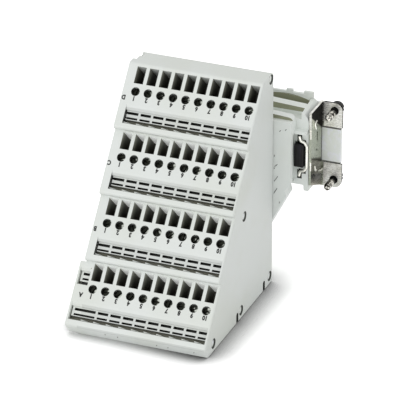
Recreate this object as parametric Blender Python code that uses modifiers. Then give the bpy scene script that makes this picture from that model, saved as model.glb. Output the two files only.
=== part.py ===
# Terminal block adapter: a stepped housing with four rows of screw terminals, and a rear multi-pole connector
import bmesh
import bpy
from math import cos, pi, radians, sin, tan
from mathutils import Matrix, Vector

mm = 0.001

# Clearances
SEAM = 0.3 * mm
HOLE_PLAY = 0.2 * mm
CUT_OVER = 1.0 * mm

# Stepped housing
PITCH = 5.08 * mm
POSITIONS = 10
ROWS = "abcd"
ROW_RISE = 21.04 * mm
ROW_SETBACK = 14.2 * mm
FACET_TILT = radians(39.6)
FIRST_ROW_SETBACK = 5.78 * mm
FIRST_ROW_HEIGHT = 16.36 * mm
TOP_MARGIN = 8.52 * mm
TOP_DEPTH = 10.672 * mm
RIGHT_MARGIN = 3.2 * mm
LEFT_MARGIN = 3.84 * mm
NOSE_OVERHANG = 1.4 * mm
NOSE_DEPTH = 4.5 * mm
FIRST_NOSE_OVERHANG = 3.7 * mm
FIRST_NOSE_GAP = 0.26 * mm
LIP_DROP = 15.0 * mm
LIP_RADIUS = 1.2 * mm
EDGE_RADIUS = 0.6 * mm
HOUSING_WALL = 2.2 * mm
TERMINAL_BODY = 13.5 * mm
LAST_ROW_SETBACK = FIRST_ROW_SETBACK + (len(ROWS) - 1) * ROW_SETBACK
LAST_ROW_HEIGHT = FIRST_ROW_HEIGHT + (len(ROWS) - 1) * ROW_RISE
HOUSING_HEIGHT = LAST_ROW_HEIGHT + TOP_MARGIN
BASE_DEPTH = LAST_ROW_SETBACK + TOP_MARGIN * tan(FACET_TILT) + TOP_DEPTH

# Conductor funnels, screw wells and clamp screws
CELL_SHIFT = 0.3 * mm
FUNNEL_WIDTH = 3.75 * mm
FUNNEL_LOW = 3.15 * mm
FUNNEL_HIGH = 9.85 * mm
FUNNEL_DEPTH = 8.0 * mm
FUNNEL_TAPER = 0.2 * mm
FUNNEL_ROOF_FALL = 0.75 * mm
WELL_RADIUS = 1.75 * mm
WELL_DEPTH = 3.6 * mm
SCREW_SINK = 1.7 * mm
SCREW_HEAD_RADIUS = WELL_RADIUS - HOLE_PLAY
SHANK_RADIUS = 1.1 * mm
SHANK_LENGTH = 5.0 * mm
SLOT_WIDTH = 0.6 * mm
SLOT_DEPTH = 0.8 * mm
SLOT_TURNS = {
    "a": (65, 5, 45, 60, 30, 0, 75, 5, 25, 25),
    "b": (25, 0, -60, 55, -45, 50, 85, 60, 5, 20),
    "c": (20, -50, -20, -25, 20, 70, 35, 60, 45, 30),
    "d": (80, -35, 40, 75, 20, -60, 60, 60, 15, 45),
}

# Marker grooves: a cove that rolls in to a floor with two lines of slots over a channel
COVE_START = -5.2 * mm
COVE_LENGTH = 2.3 * mm
GROOVE_DEPTH = 1.2 * mm
GROOVE_END = -12.7 * mm
GROOVE_LEFT_MARGIN = 2.14 * mm
GROOVE_RIGHT_MARGIN = 2.44 * mm
MARKER_LINES = ((-7.9, -8.75), (-10.0, -10.6))
MARKER_CHANNEL = (-11.3, -12.4)
MARKER_SLIT = (-6.4, -12.3)
MARKER_SLOT_DEPTH = 2.2 * mm
MARKER_WEB = 0.95 * mm
MARKER_SHIFT = 0.9 * mm
SLIT_WIDTH = 0.45 * mm
SLIT_GAP = 1.3 * mm
FIRST_GROOVE_EXTENSION = 4.65 * mm
SIDE_MARKER_RISE = 13.7 * mm
SIDE_MARKER_LENGTH = 4.3 * mm

# Snap pins and foot notches of the side walls, by depth from the front edge and height
PIN_RADIUS = 2.0 * mm
PIN_SINK = 0.5 * mm
PIN_EDGE = 2.9 * mm
PIN_FOOT = 3.6 * mm
FRONT_PIN_DEPTH = 5.0 * mm
FOOT_PIN_DEPTH = 33.2 * mm
MIDDLE_PIN_DEPTH = 36.1 * mm
MIDDLE_PIN_HEIGHT = 41.8 * mm
TOP_PIN_DROP = 1.5 * mm
FRONT_PIN = (FRONT_PIN_DEPTH, PIN_FOOT)
FOOT_PIN = (FOOT_PIN_DEPTH, PIN_FOOT)
MIDDLE_PIN = (MIDDLE_PIN_DEPTH, MIDDLE_PIN_HEIGHT)
REAR_PIN = (BASE_DEPTH - PIN_EDGE, PIN_FOOT)
TOP_PIN = (BASE_DEPTH - PIN_EDGE, HOUSING_HEIGHT - TOP_PIN_DROP)
PIN_PLACES = (FRONT_PIN, FOOT_PIN, MIDDLE_PIN, REAR_PIN, TOP_PIN)
NOTCH_BEFORE_PIN = 4.0 * mm
REAR_NOTCH_EDGE = 9.0 * mm
NOTCH_DEPTHS = (FOOT_PIN_DEPTH - NOTCH_BEFORE_PIN, BASE_DEPTH - REAR_NOTCH_EDGE)
NOTCH_WIDTH = 2.1 * mm
NOTCH_HEIGHT = 4.4 * mm
NOTCH_SINK = 1.2 * mm

# Rear cover
COVER_DEPTH = 2.6 * mm
COVER_WALL = 1.3 * mm
COVER_SILL = 1.6 * mm

# Contact insert, with widths and heights from the middle of the connector
CONTACT_COLUMNS = 10
CONTACT_ROWS = 4
CONTACT_PITCH_X = 5.4 * mm
CONTACT_PITCH_Z = 4.6 * mm
CONTACT_RADIUS = 1.0 * mm
CONTACT_DEPTH = 6.0 * mm
MATING_END = 6.2 * mm
MATING_SIDE = 3.1 * mm
MATING_DEPTH = 11.0 * mm
BODY_END = 1.2 * mm
BODY_SIDE = 2.7 * mm
BODY_DEPTH = 9.0 * mm
PLATE_DEPTH = 1.8 * mm
PLATE_HALF_HEIGHT = 16.8 * mm
TONGUE_SHORTFALL = 0.6 * mm
CONTACT_HALF_WIDTH = (CONTACT_COLUMNS - 1) / 2 * CONTACT_PITCH_X
CONTACT_HALF_HEIGHT = (CONTACT_ROWS - 1) / 2 * CONTACT_PITCH_Z
MATING_HALF_WIDTH = CONTACT_HALF_WIDTH + MATING_END
MATING_HALF_HEIGHT = CONTACT_HALF_HEIGHT + MATING_SIDE
BODY_HALF_WIDTH = CONTACT_HALF_WIDTH + BODY_END
BODY_HALF_HEIGHT = CONTACT_HALF_HEIGHT + BODY_SIDE

# Connector hood behind the rear cover, wrapped round the insert
CONNECTOR_X = 3.1 * mm
CONNECTOR_HEIGHT = 53.0 * mm
HOOD_DEPTH = 17.5 * mm
HOOD_STEP = 6.0 * mm
HOOD_JOIN = 1.0 * mm
HOOD_JOIN_STEP = 0.05 * mm
HOOD_PLATE = 2.0 * mm
POCKET_WALL = 2.9 * mm
POCKET_LIP = 1.5 * mm
END_SETBACK = 4.9 * mm
POCKET_INNER = BODY_HALF_WIDTH + POCKET_WALL
HOOD_FRONT_HALF = POCKET_INNER + POCKET_LIP
HOOD_HALF = HOOD_FRONT_HALF + END_SETBACK
HOOD_TOP = 18.8 * mm
HOOD_TOP_FALL = 2.9 * mm
HOOD_BOTTOM = 12.9 * mm
HOOD_SHOULDER = 10.3 * mm
HOOD_CORNER = 3.6 * mm
HOOD_CROWN_HALF = 15.0 * mm
HOOD_CROWN = 1.0 * mm
HOOD_NECK_PROFILE = ((9.5, -31.0), (1.7, -15.9), (2.3, -13.6))
END_WALL = 1.2 * mm
END_WALL_DROP = 15.2 * mm
END_FOOT = 1.9 * mm
RIB_GROOVES = ((4.8, 9.6), (12.6, 16.1))
RIB_GROOVE_DEPTH = 2.2 * mm
RIB_GROOVE_END = 3.0 * mm
RIB_GROOVE_HALF = HOOD_HALF - RIB_GROOVE_END
FRONT_LEDGE = 2.2 * mm
FRONT_LEDGE_DROP = 1.1 * mm
RIM_DEPTH = 1.3 * mm
RIM_RISE = 1.6 * mm
POCKET_TOP = 9.4 * mm
POCKET_BOTTOM = 10.9 * mm
POCKET_ROOF = 1.2 * mm
POCKET_ROOF_DEPTH = 2.8 * mm
TOP_LUGS = ((13.1, 10.3, 1.05), (6.0, 2.0, 1.1))

# Metal flange brackets, fixing screws, locking blocks and locking springs
SHEET = 0.9 * mm
EAR_WIDTH = 9.2 * mm
FLANGE_HALF_WIDTH = HOOD_HALF + EAR_WIDTH
FLANGE_EDGE = 0.9 * mm
FLANGE_HALF_HEIGHT = PLATE_HALF_HEIGHT + FLANGE_EDGE
FIX_INSET = 3.2 * mm
FIX_HALF_WIDTH = FLANGE_HALF_WIDTH - FIX_INSET
FIX_HALF_HEIGHT = FLANGE_HALF_HEIGHT - FIX_INSET
EAR_CORNER = 2.9 * mm
EAR_INNER = 7.6 * mm
BRACKET_REACH = 12.1 * mm
BRACKET_RAKE = 5.3 * mm
BRACKET_SLOT_WIDTH = 0.9 * mm
BRACKET_SLOT_LENGTH = 4.0 * mm
BRACKET_HOLE_RADIUS = 0.6 * mm
FIX_HOLE_RADIUS = 1.7 * mm
FIX_SHANK_RADIUS = 1.2 * mm
FIX_HEAD_RADIUS = 2.6 * mm
FIX_HEAD_LENGTH = 3.0 * mm
FIX_TIP_REACH = 8.2 * mm
FIX_SLOT_WIDTH = 0.9 * mm
FIX_SLOT_DEPTH = 1.2 * mm
LATCH_WIDTH = 3.8 * mm
LATCH_HALF_HEIGHT = 4.8 * mm
LATCH_PROUD = 1.9 * mm
LATCH_DEPTH = 6.0 * mm
SPRING_WIRE = 0.9 * mm
SPRING_SETBACK = 5.0 * mm
SPRING_DROP = 0.4 * mm
SPRING_ROUTE = ((3.2, 3.35), (2.9, 1.6), (1.4, 1.15), (0.45, -0.15))

FRONT_Y = -BASE_DEPTH / 2
BACK_Y = BASE_DEPTH / 2
HALF_ROW = (POSITIONS - 1) / 2 * PITCH
RIGHT_X = HALF_ROW + RIGHT_MARGIN
LEFT_X = -HALF_ROW - LEFT_MARGIN
NOSE_LEFT_X = LEFT_X - NOSE_OVERHANG
FIRST_NOSE_LEFT_X = LEFT_X - FIRST_NOSE_OVERHANG
COVER_Y = BACK_Y - COVER_DEPTH
UP = Vector((sin(FACET_TILT), cos(FACET_TILT)))
OUT = Vector((-cos(FACET_TILT), sin(FACET_TILT)))
ROW_STEP = Vector((ROW_SETBACK, ROW_RISE))
STEP_OUT = ROW_STEP.dot(OUT)
HOOD_Y = BACK_Y + SEAM
HOOD_REAR_Y = HOOD_Y + HOOD_DEPTH
FLANGE_Y = HOOD_REAR_Y + SEAM
BRACKET_X = HOOD_HALF + SEAM
POCKET_BACK_Y = HOOD_Y + HOOD_STEP + HOOD_JOIN_STEP


def clear_scene():
    for thing in list(bpy.data.objects):
        bpy.data.objects.remove(thing, do_unlink=True)


def new_collection(name):
    group = bpy.data.collections.new(name)
    bpy.context.scene.collection.children.link(group)
    return group


def new_material(name, colour, roughness, metallic=0.0):
    material = bpy.data.materials.new(name)
    material.use_nodes = True
    shader = material.node_tree.nodes["Principled BSDF"]
    shader.inputs["Base Color"].default_value = (*colour, 1.0)
    shader.inputs["Roughness"].default_value = roughness
    shader.inputs["Metallic"].default_value = metallic
    return material


clear_scene()
PIECES = new_collection("terminal_block_adapter")
CUTTERS = new_collection("cutters")
PALE_PLASTIC = new_material("pale_grey_plastic", (0.68, 0.69, 0.68), 0.45)
DARK_PLASTIC = new_material("black_plastic", (0.012, 0.012, 0.014), 0.4)
SHEET_STEEL = new_material("nickel_plated_sheet", (0.55, 0.54, 0.51), 0.25, 1.0)
SCREW_STEEL = new_material("zinc_plated_screw", (0.42, 0.42, 0.40), 0.35, 1.0)


# Building blocks

def to_piece(name, mesh, material):
    piece = bpy.data.objects.new(name, mesh)
    mesh.materials.append(material)
    PIECES.objects.link(piece)
    return piece


def to_cutter(name, mesh):
    cutter = bpy.data.objects.new(name, mesh)
    cutter.hide_render = True
    cutter.display_type = "WIRE"
    CUTTERS.objects.link(cutter)
    return cutter


def cut(piece, cutter, operation="DIFFERENCE"):
    modifier = piece.modifiers.new(cutter.name, "BOOLEAN")
    modifier.operation = operation
    modifier.solver = "EXACT"
    modifier.object = cutter


def finish_mesh(name, bm):
    bmesh.ops.recalc_face_normals(bm, faces=bm.faces)
    for face in bm.faces:
        face.smooth = False
    mesh = bpy.data.meshes.new(name)
    bm.to_mesh(mesh)
    bm.free()
    return mesh


def settled(name, thing):
    """The mesh of an object with its modifiers applied, after which the object is removed."""
    bpy.context.view_layer.update()
    graph = bpy.context.evaluated_depsgraph_get()
    mesh = bpy.data.meshes.new_from_object(thing.evaluated_get(graph))
    mesh.name = name
    mesh.transform(thing.matrix_world)
    mesh.materials.clear()
    bpy.data.objects.remove(thing, do_unlink=True)
    return mesh


def rounded(corners, radii, steps=3):
    """An outline whose corners become arcs of the given radii."""
    outline = []
    count = len(corners)
    for index, (corner, radius) in enumerate(zip(corners, radii)):
        if radius <= 0:
            outline.append(corner)
            continue
        before = corners[index - 1] - corner
        after = corners[(index + 1) % count] - corner
        half = before.angle(after) / 2
        reach = min(radius / tan(half), 0.45 * before.length, 0.45 * after.length)
        radius = reach * tan(half)
        centre = corner + (before.normalized() + after.normalized()).normalized() * radius / sin(half)
        start = corner + before.normalized() * reach - centre
        end = corner + after.normalized() * reach - centre
        sweep = start.angle_signed(end)
        for step in range(steps + 1):
            spoke = start.copy()
            spoke.rotate(Matrix.Rotation(-sweep * step / steps, 2))
            outline.append(centre + spoke)
    return outline


def extruded(name, outline, low, high, axis, end_radius=0.0, round_low=True):
    """A flat outline filled and extruded along X from the YZ plane, or along Y from the XZ plane."""
    curve = bpy.data.curves.new(name, "CURVE")
    curve.dimensions = "2D"
    curve.fill_mode = "BOTH"
    curve.extrude = (high - low) / 2
    spline = curve.splines.new("POLY")
    spline.points.add(len(outline) - 1)
    for point, corner in zip(spline.points, outline):
        point.co = (corner[0], corner[1], 0, 1)
    spline.use_cyclic_u = True
    guide = bpy.data.objects.new(name, curve)
    if axis == "X":
        turn = Matrix(((0, 0, 1), (1, 0, 0), (0, 1, 0))).to_4x4()
        guide.matrix_world = Matrix.Translation(((low + high) / 2, 0, 0)) @ turn
    else:
        turn = Matrix(((1, 0, 0), (0, 0, -1), (0, 1, 0))).to_4x4()
        guide.matrix_world = Matrix.Translation((0, (low + high) / 2, 0)) @ turn
    CUTTERS.objects.link(guide)
    bm = bmesh.new()
    bm.from_mesh(settled(name, guide))
    bmesh.ops.remove_doubles(bm, verts=bm.verts, dist=1e-6)
    bmesh.ops.dissolve_limit(bm, angle_limit=0.01, verts=bm.verts, edges=bm.edges)
    if end_radius > 0:
        k = 0 if axis == "X" else 1
        ends = (high,) if not round_low else (low, high)
        rim = [e for e in bm.edges if any(all(abs(v.co[k] - end) < 1e-6 for v in e.verts) for end in ends)]
        bmesh.ops.bevel(bm, geom=rim, offset=end_radius, segments=2, profile=0.5, affect="EDGES")
    bmesh.ops.triangulate(bm, faces=[face for face in bm.faces if len(face.verts) > 4])
    return finish_mesh(name, bm)


def box(bm, low, high):
    """A box between two corners, added to a mesh under construction."""
    low = Vector(low)
    high = Vector(high)
    made = bmesh.ops.create_cube(bm, size=1.0)
    for vertex in made["verts"]:
        vertex.co = Vector([a + (b - a) * (c + 0.5) for a, b, c in zip(low, high, vertex.co)])
    return made["verts"]


def boxes(name, spans, radius=0.0):
    bm = bmesh.new()
    for low, high in spans:
        box(bm, low, high)
    if radius > 0:
        bmesh.ops.bevel(bm, geom=bm.edges[:], offset=radius, segments=2, profile=0.5, affect="EDGES")
    return finish_mesh(name, bm)


def cylinder(bm, matrix, radius, low, high, sides):
    """A closed cylinder along the local Z of a placing matrix."""
    middle = Matrix.Translation((0, 0, (low + high) / 2))
    bmesh.ops.create_cone(
        bm, cap_ends=True, segments=sides, radius1=radius, radius2=radius, depth=high - low, matrix=matrix @ middle
    )


def turned(name, profile, steps):
    """A solid of revolution about Z, from a profile that runs from top to bottom."""
    mesh = bpy.data.meshes.new(name)
    points = [(radius, 0, height) for radius, height in profile]
    mesh.from_pydata(points, [(k, k + 1) for k in range(len(points) - 1)], [])
    guide = bpy.data.objects.new(name, mesh)
    CUTTERS.objects.link(guide)
    screw = guide.modifiers.new("turn", "SCREW")
    screw.steps = steps
    screw.render_steps = steps
    screw.use_merge_vertices = True
    screw.merge_threshold = 0.00001
    return settled(name, guide)


def mirrored(mesh, name):
    """The same mesh seen in the plane X = 0, with its faces still pointing out."""
    copy = mesh.copy()
    copy.name = name
    copy.transform(Matrix.Scale(-1, 4, (1, 0, 0)))
    copy.flip_normals()
    return copy


# Stepped housing

def row_centre(row):
    first = Vector((FRONT_Y + FIRST_ROW_SETBACK, FIRST_ROW_HEIGHT))
    return first + ROW_STEP * row


def on_facet(row, along, out=0.0):
    return row_centre(row) + UP * along + OUT * out


def facet_matrix(row, x):
    """Local X along the row, local Y up the sloping face and local Z out of it."""
    centre = row_centre(row)
    turn = Matrix(((1, 0, 0), (0, UP.x, OUT.x), (0, UP.y, OUT.y))).to_4x4()
    return Matrix.Translation((x, centre.x, centre.y)) @ turn


def position_x(position):
    return (position - (POSITIONS - 1) / 2) * PITCH


def facet_top():
    last = row_centre(len(ROWS) - 1)
    return (HOUSING_HEIGHT - last.y) / cos(FACET_TILT)


def stepped_front(inset=0.0):
    """The saw-toothed front from the lowest lip to the top edge, moved back from the surface by an inset."""
    corners = []
    radii = []
    for row in range(len(ROWS)):
        if row > 0:
            corners.append(on_facet(row, -LIP_DROP, -STEP_OUT - inset))
            radii.append(0.0)
        corners.append(on_facet(row, -LIP_DROP, -inset))
        radii.append(LIP_RADIUS if inset == 0 else 0.0)
    corners.append(on_facet(len(ROWS) - 1, facet_top(), -inset))
    radii.append(LIP_RADIUS if inset == 0 else 0.0)
    return corners, radii


def housing_outline():
    corners, radii = stepped_front()
    corners = [Vector((FRONT_Y, 0))] + corners + [Vector((BACK_Y, HOUSING_HEIGHT)), Vector((BACK_Y, 0))]
    radii = [0.0] + radii + [EDGE_RADIUS, EDGE_RADIUS]
    return rounded(corners, radii)


def housing_left_steps():
    """Takes the left side back to the base width, leaving the row faces standing out as noses."""
    inner, _ = stepped_front(NOSE_DEPTH)
    far = BASE_DEPTH
    behind = inner + [Vector((inner[-1].x, 2 * HOUSING_HEIGHT)), Vector((far, 2 * HOUSING_HEIGHT))]
    behind += [Vector((far, -far)), Vector((inner[0].x, -far))]
    outer_x = FIRST_NOSE_LEFT_X - CUT_OVER
    side = to_cutter("side_step", extruded("side_step", behind, outer_x, LEFT_X, "X"))
    ledge = on_facet(0, ROW_STEP.dot(UP) - LIP_DROP - FIRST_NOSE_GAP, 0)
    above = [ledge - OUT * far, ledge + OUT * far, ledge + (OUT + 3 * UP) * far, ledge + (3 * UP - OUT) * far]
    upper = to_cutter("upper_nose_step", extruded("upper_nose_step", above, outer_x, NOSE_LEFT_X, "X"))
    return side, upper


def housing_cavity():
    """The room behind the terminals for the wiring, open to the seat of the rear cover."""
    low = row_centre(0) - OUT * TERMINAL_BODY
    rise = ROW_STEP.y / ROW_STEP.x
    back = COVER_Y
    floor = HOUSING_WALL + COVER_SILL
    ceiling = min(low.y + (back - low.x) * rise, HOUSING_HEIGHT - HOUSING_WALL - COVER_SILL)
    corners = [
        Vector((low.x + (floor - low.y) / rise, floor)),
        Vector((low.x + (ceiling - low.y) / rise, ceiling)),
        Vector((back + CUT_OVER, ceiling)),
        Vector((back + CUT_OVER, floor)),
    ]
    inset = HOUSING_WALL + COVER_SILL
    return extruded("cavity", corners, LEFT_X + inset, RIGHT_X - inset, "X")


def cover_seat():
    """The rebate in the back of the housing that takes the rear cover."""
    wall = HOUSING_WALL
    low = (LEFT_X + wall, COVER_Y - SEAM, wall)
    return boxes("cover_seat", [(low, (RIGHT_X - wall, BACK_Y + CUT_OVER, HOUSING_HEIGHT - wall))])


def bore_cutter(name, radius, low, high, sides):
    """One round bore at every terminal, square to the sloping face."""
    bm = bmesh.new()
    for row in range(len(ROWS)):
        for position in range(POSITIONS):
            cylinder(bm, facet_matrix(row, position_x(position)), radius, low, high, sides)
    return to_cutter(name, finish_mesh(name, bm))


def funnel_cutter():
    bm = bmesh.new()
    for row in range(len(ROWS)):
        for position in range(POSITIONS):
            place = facet_matrix(row, position_x(position) + CELL_SHIFT)
            half = FUNNEL_WIDTH / 2
            corners = box(bm, (-half, FUNNEL_LOW, -FUNNEL_DEPTH), (half, FUNNEL_HIGH, 0))
            for vertex in corners:
                if vertex.co.z < -FUNNEL_DEPTH / 2:
                    vertex.co.x -= FUNNEL_TAPER if vertex.co.x > 0 else -FUNNEL_TAPER
                    vertex.co.y -= FUNNEL_ROOF_FALL if vertex.co.y > FUNNEL_LOW + half else 0.0
                else:
                    vertex.co.z += CUT_OVER
                vertex.co = place @ vertex.co
    return to_cutter("funnels", finish_mesh("funnels", bm))


def groove_outline(row, rise):
    """The cove and floor of a marker groove, in the YZ plane."""
    proud = GROOVE_DEPTH / 50
    points = [on_facet(row, COVE_START + rise, CUT_OVER)]
    for step in range(4):
        turn = pi / 2 * step / 3
        along = COVE_START - COVE_LENGTH * sin(turn) + rise
        points.append(on_facet(row, along, proud - (GROOVE_DEPTH + proud) * (1 - cos(turn))))
    points.append(on_facet(row, GROOVE_END + rise, -GROOVE_DEPTH))
    points.append(on_facet(row, GROOVE_END + rise, CUT_OVER))
    return points


def groove_ends(row):
    left = position_x(0) - GROOVE_LEFT_MARGIN
    right = position_x(POSITIONS - 1) + GROOVE_RIGHT_MARGIN
    if row == 0:
        left -= FIRST_GROOVE_EXTENSION
    return left, right


def marker_spans(row):
    """The two ends of every slot in a line of markers."""
    left, right = groove_ends(row)
    spans = []
    for position in range(POSITIONS):
        middle = position_x(position) + MARKER_SHIFT
        low = middle - (PITCH - MARKER_WEB) / 2
        high = middle + (PITCH - MARKER_WEB) / 2
        if position == 0:
            low = left + (SLIT_GAP if row == 0 else SLIT_WIDTH / 2)
        spans.append((low, min(high, right - CUT_OVER / 10)))
    return spans


def marker_slot(bm, row, span, band, depth):
    """A slot in the floor of a groove, between two ends and two distances along the sloping face."""
    place = facet_matrix(row, 0)
    low = (span[0], band[1], -GROOVE_DEPTH - depth)
    for vertex in box(bm, low, (span[1], band[0], CUT_OVER / 2 - GROOVE_DEPTH)):
        vertex.co = place @ vertex.co


def raised(band, rise):
    return band[0] * mm + rise, band[1] * mm + rise


def marker_cutters():
    """The groove of each row with its slots, and the short groove beside the lowest row's funnels."""
    cutters = []
    slots = bmesh.new()
    channels = bmesh.new()
    slits = bmesh.new()
    side_left = groove_ends(0)[0]
    side_right = side_left + SIDE_MARKER_LENGTH
    side_span = (side_left + SLIT_GAP, side_right - CUT_OVER / 10)
    grooves = [(row, groove_ends(row), marker_spans(row), 0.0, ROWS[row]) for row in range(len(ROWS))]
    grooves.append((0, (side_left, side_right), [side_span], SIDE_MARKER_RISE, "side"))
    for row, ends, spans, rise, letter in grooves:
        name = "marker_groove_" + letter
        cutters.append(to_cutter(name, extruded(name, groove_outline(row, rise), *ends, "X")))
        whole = (ends[0] + CUT_OVER / 10, ends[1] - CUT_OVER / 10)
        marker_slot(channels, row, whole, raised(MARKER_CHANNEL, rise), MARKER_SLOT_DEPTH * 0.6)
        slit = (ends[0] + CUT_OVER / 20, ends[0] + SLIT_WIDTH)
        marker_slot(slits, row, slit, raised(MARKER_SLIT, rise), MARKER_SLOT_DEPTH * 0.9)
        for span in spans:
            for line in MARKER_LINES:
                marker_slot(slots, row, span, raised(line, rise), MARKER_SLOT_DEPTH)
    for name, bm in (("slots", slots), ("channels", channels), ("slits", slits)):
        cutters.append(to_cutter("marker_" + name, finish_mesh("marker_" + name, bm)))
    return cutters


def side_pin_cutter():
    bm = bmesh.new()
    sideways = Matrix.Rotation(pi / 2, 4, "Y")
    for x in (RIGHT_X, LEFT_X):
        for depth, height in PIN_PLACES:
            place = Matrix.Translation((x, FRONT_Y + depth, height)) @ sideways
            cylinder(bm, place, PIN_RADIUS, -PIN_SINK, PIN_SINK * 2, 14)
    return to_cutter("side_pins", finish_mesh("side_pins", bm))


def foot_notch_cutters():
    """Round-topped notches that open at the foot of both side walls."""
    notches = []
    for index, depth in enumerate(NOTCH_DEPTHS):
        middle = FRONT_Y + depth
        half = NOTCH_WIDTH / 2
        corners = [Vector((middle - half, -CUT_OVER)), Vector((middle + half, -CUT_OVER))]
        corners += [Vector((middle + half, NOTCH_HEIGHT)), Vector((middle - half, NOTCH_HEIGHT))]
        outline = rounded(corners, (0, 0, half, half))
        for side, x in (("right", RIGHT_X), ("left", LEFT_X)):
            name = f"foot_notch_{side}_{index + 1}"
            notches.append(to_cutter(name, extruded(name, outline, x - NOTCH_SINK, x + NOTCH_SINK, "X")))
    return notches


def make_housing():
    mesh = extruded("terminal_housing", housing_outline(), FIRST_NOSE_LEFT_X, RIGHT_X, "X", EDGE_RADIUS, False)
    housing = to_piece("terminal_housing", mesh, PALE_PLASTIC)
    side, upper = housing_left_steps()
    cut(housing, side)
    cut(housing, upper)
    cut(housing, to_cutter("cavity", housing_cavity()))
    cut(housing, to_cutter("cover_seat", cover_seat()))
    cut(housing, side_pin_cutter())
    for notch in foot_notch_cutters():
        cut(housing, notch)
    cut(housing, bore_cutter("wells", WELL_RADIUS, -WELL_DEPTH, CUT_OVER, 14))
    shank_low = -WELL_DEPTH - SHANK_LENGTH
    bore = (SHANK_RADIUS + HOLE_PLAY) / cos(pi / 6)
    cut(housing, bore_cutter("shank_bores", bore, shank_low, -WELL_DEPTH / 2, 6))
    cut(housing, funnel_cutter())
    for cutter in marker_cutters():
        cut(housing, cutter)
    return housing


def make_rear_cover():
    """A plate flush with the back of the housing, hollowed on its inner side."""
    edge = HOUSING_WALL + SEAM
    low = (LEFT_X + edge, COVER_Y, edge)
    plate = boxes("rear_cover", [(low, (RIGHT_X - edge, BACK_Y, HOUSING_HEIGHT - edge))])
    cover = to_piece("rear_cover", plate, PALE_PLASTIC)
    inner = edge + COVER_SILL + SEAM
    low = (LEFT_X + inner, COVER_Y - CUT_OVER, inner)
    hollow = boxes("cover_hollow", [(low, (RIGHT_X - inner, BACK_Y - COVER_WALL, HOUSING_HEIGHT - inner))])
    cut(cover, to_cutter("cover_hollow", hollow))
    return cover


# Clamp screws

def clamp_screw_mesh():
    """A slotted head on a plain shank; the origin is on the screw's axis at the face of the housing."""
    top = -SCREW_SINK
    under = -WELL_DEPTH + SEAM
    tip = -WELL_DEPTH - SHANK_LENGTH + SEAM
    head = [(0, top), (SCREW_HEAD_RADIUS, top), (SCREW_HEAD_RADIUS, under), (0, under)]
    shank = [(0, (top + under) / 2), (SHANK_RADIUS, (top + under) / 2), (SHANK_RADIUS, tip), (0, tip)]
    screw = bpy.data.objects.new("screw_blank", turned("screw_blank", head, 12))
    CUTTERS.objects.link(screw)
    cut(screw, to_cutter("screw_shank", turned("screw_shank", shank, 6)), "UNION")
    reach = WELL_RADIUS * 2
    low = (-reach, -SLOT_WIDTH / 2, top - SLOT_DEPTH)
    slot = to_cutter("screw_slot", boxes("screw_slot", [(low, (reach, SLOT_WIDTH / 2, top + CUT_OVER))]))
    cut(screw, slot)
    mesh = settled("clamp_screw", screw)
    mesh.materials.append(SCREW_STEEL)
    return mesh


def make_clamp_screws():
    mesh = clamp_screw_mesh()
    for row, letter in enumerate(ROWS):
        for position in range(POSITIONS):
            screw = bpy.data.objects.new(f"clamp_screw_{letter}{position + 1}", mesh)
            turns = SLOT_TURNS[letter]
            turn = Matrix.Rotation(radians(turns[position % len(turns)]), 4, "Z")
            screw.matrix_world = facet_matrix(row, position_x(position)) @ turn
            PIECES.objects.link(screw)


# Connector hood

def hood_top(y):
    """Height of the hood's top, which rises towards the flange."""
    return CONNECTOR_HEIGHT + HOOD_TOP - HOOD_TOP_FALL * (HOOD_REAR_Y - y) / HOOD_DEPTH


def lean_top(mesh):
    for vertex in mesh.vertices:
        if vertex.co.z > CONNECTOR_HEIGHT:
            vertex.co.z += hood_top(vertex.co.y) - CONNECTOR_HEIGHT - HOOD_TOP
    return mesh


def both_sides(right, radii):
    """A symmetrical outline from its right half, both halves rounded alike."""
    left = [Vector((-p.x, p.y)) for p in reversed(right)]
    return rounded(right + left, tuple(radii) + tuple(reversed(radii)))


def hood_front_outline():
    top = CONNECTOR_HEIGHT + HOOD_TOP - HOOD_JOIN_STEP
    half = HOOD_FRONT_HALF
    neck = [Vector((half - inset * mm, CONNECTOR_HEIGHT + rise * mm)) for inset, rise in HOOD_NECK_PROFILE]
    right = neck + [Vector((half, CONNECTOR_HEIGHT - HOOD_SHOULDER)), Vector((half, top))]
    right.append(Vector((HOOD_CROWN_HALF, top + HOOD_CROWN)))
    return both_sides(right, [0] * (len(right) - 2) + [HOOD_CORNER / 2, 0])


def hood_rear_outline():
    top = CONNECTOR_HEIGHT + HOOD_TOP
    low = CONNECTOR_HEIGHT - HOOD_BOTTOM
    foot = CONNECTOR_HEIGHT - END_WALL_DROP
    inner = HOOD_HALF - END_FOOT
    right = [Vector((inner, low)), Vector((inner, foot)), Vector((HOOD_HALF, foot)), Vector((HOOD_HALF, top))]
    right.append(Vector((HOOD_CROWN_HALF, top + HOOD_CROWN)))
    return both_sides(right, (EDGE_RADIUS, EDGE_RADIUS, 0, HOOD_CORNER, 0))


def top_lugs():
    """A rim along the flange end of the hood's top, and four stops on it."""
    top = CONNECTOR_HEIGHT + HOOD_TOP
    rear = HOOD_REAR_Y - HOOD_JOIN_STEP
    lugs = []
    for near, far, rise in TOP_LUGS:
        for side in (-1, 1):
            x_low, x_high = sorted((side * (HOOD_HALF - near * mm), side * (HOOD_HALF - far * mm)))
            high = (x_high, rear - HOOD_JOIN_STEP, top + RIM_RISE + rise * mm)
            lugs.append(((x_low, rear - RIM_DEPTH + HOOD_JOIN_STEP, top), high))
    half = HOOD_HALF - HOOD_CORNER
    rim = [((-half, rear - RIM_DEPTH, top - HOOD_CORNER / 2), (half, rear, top + RIM_RISE))]
    return boxes("hood_rim", rim, RIM_DEPTH / 4), boxes("hood_lugs", lugs, RIM_DEPTH / 4)


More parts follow.
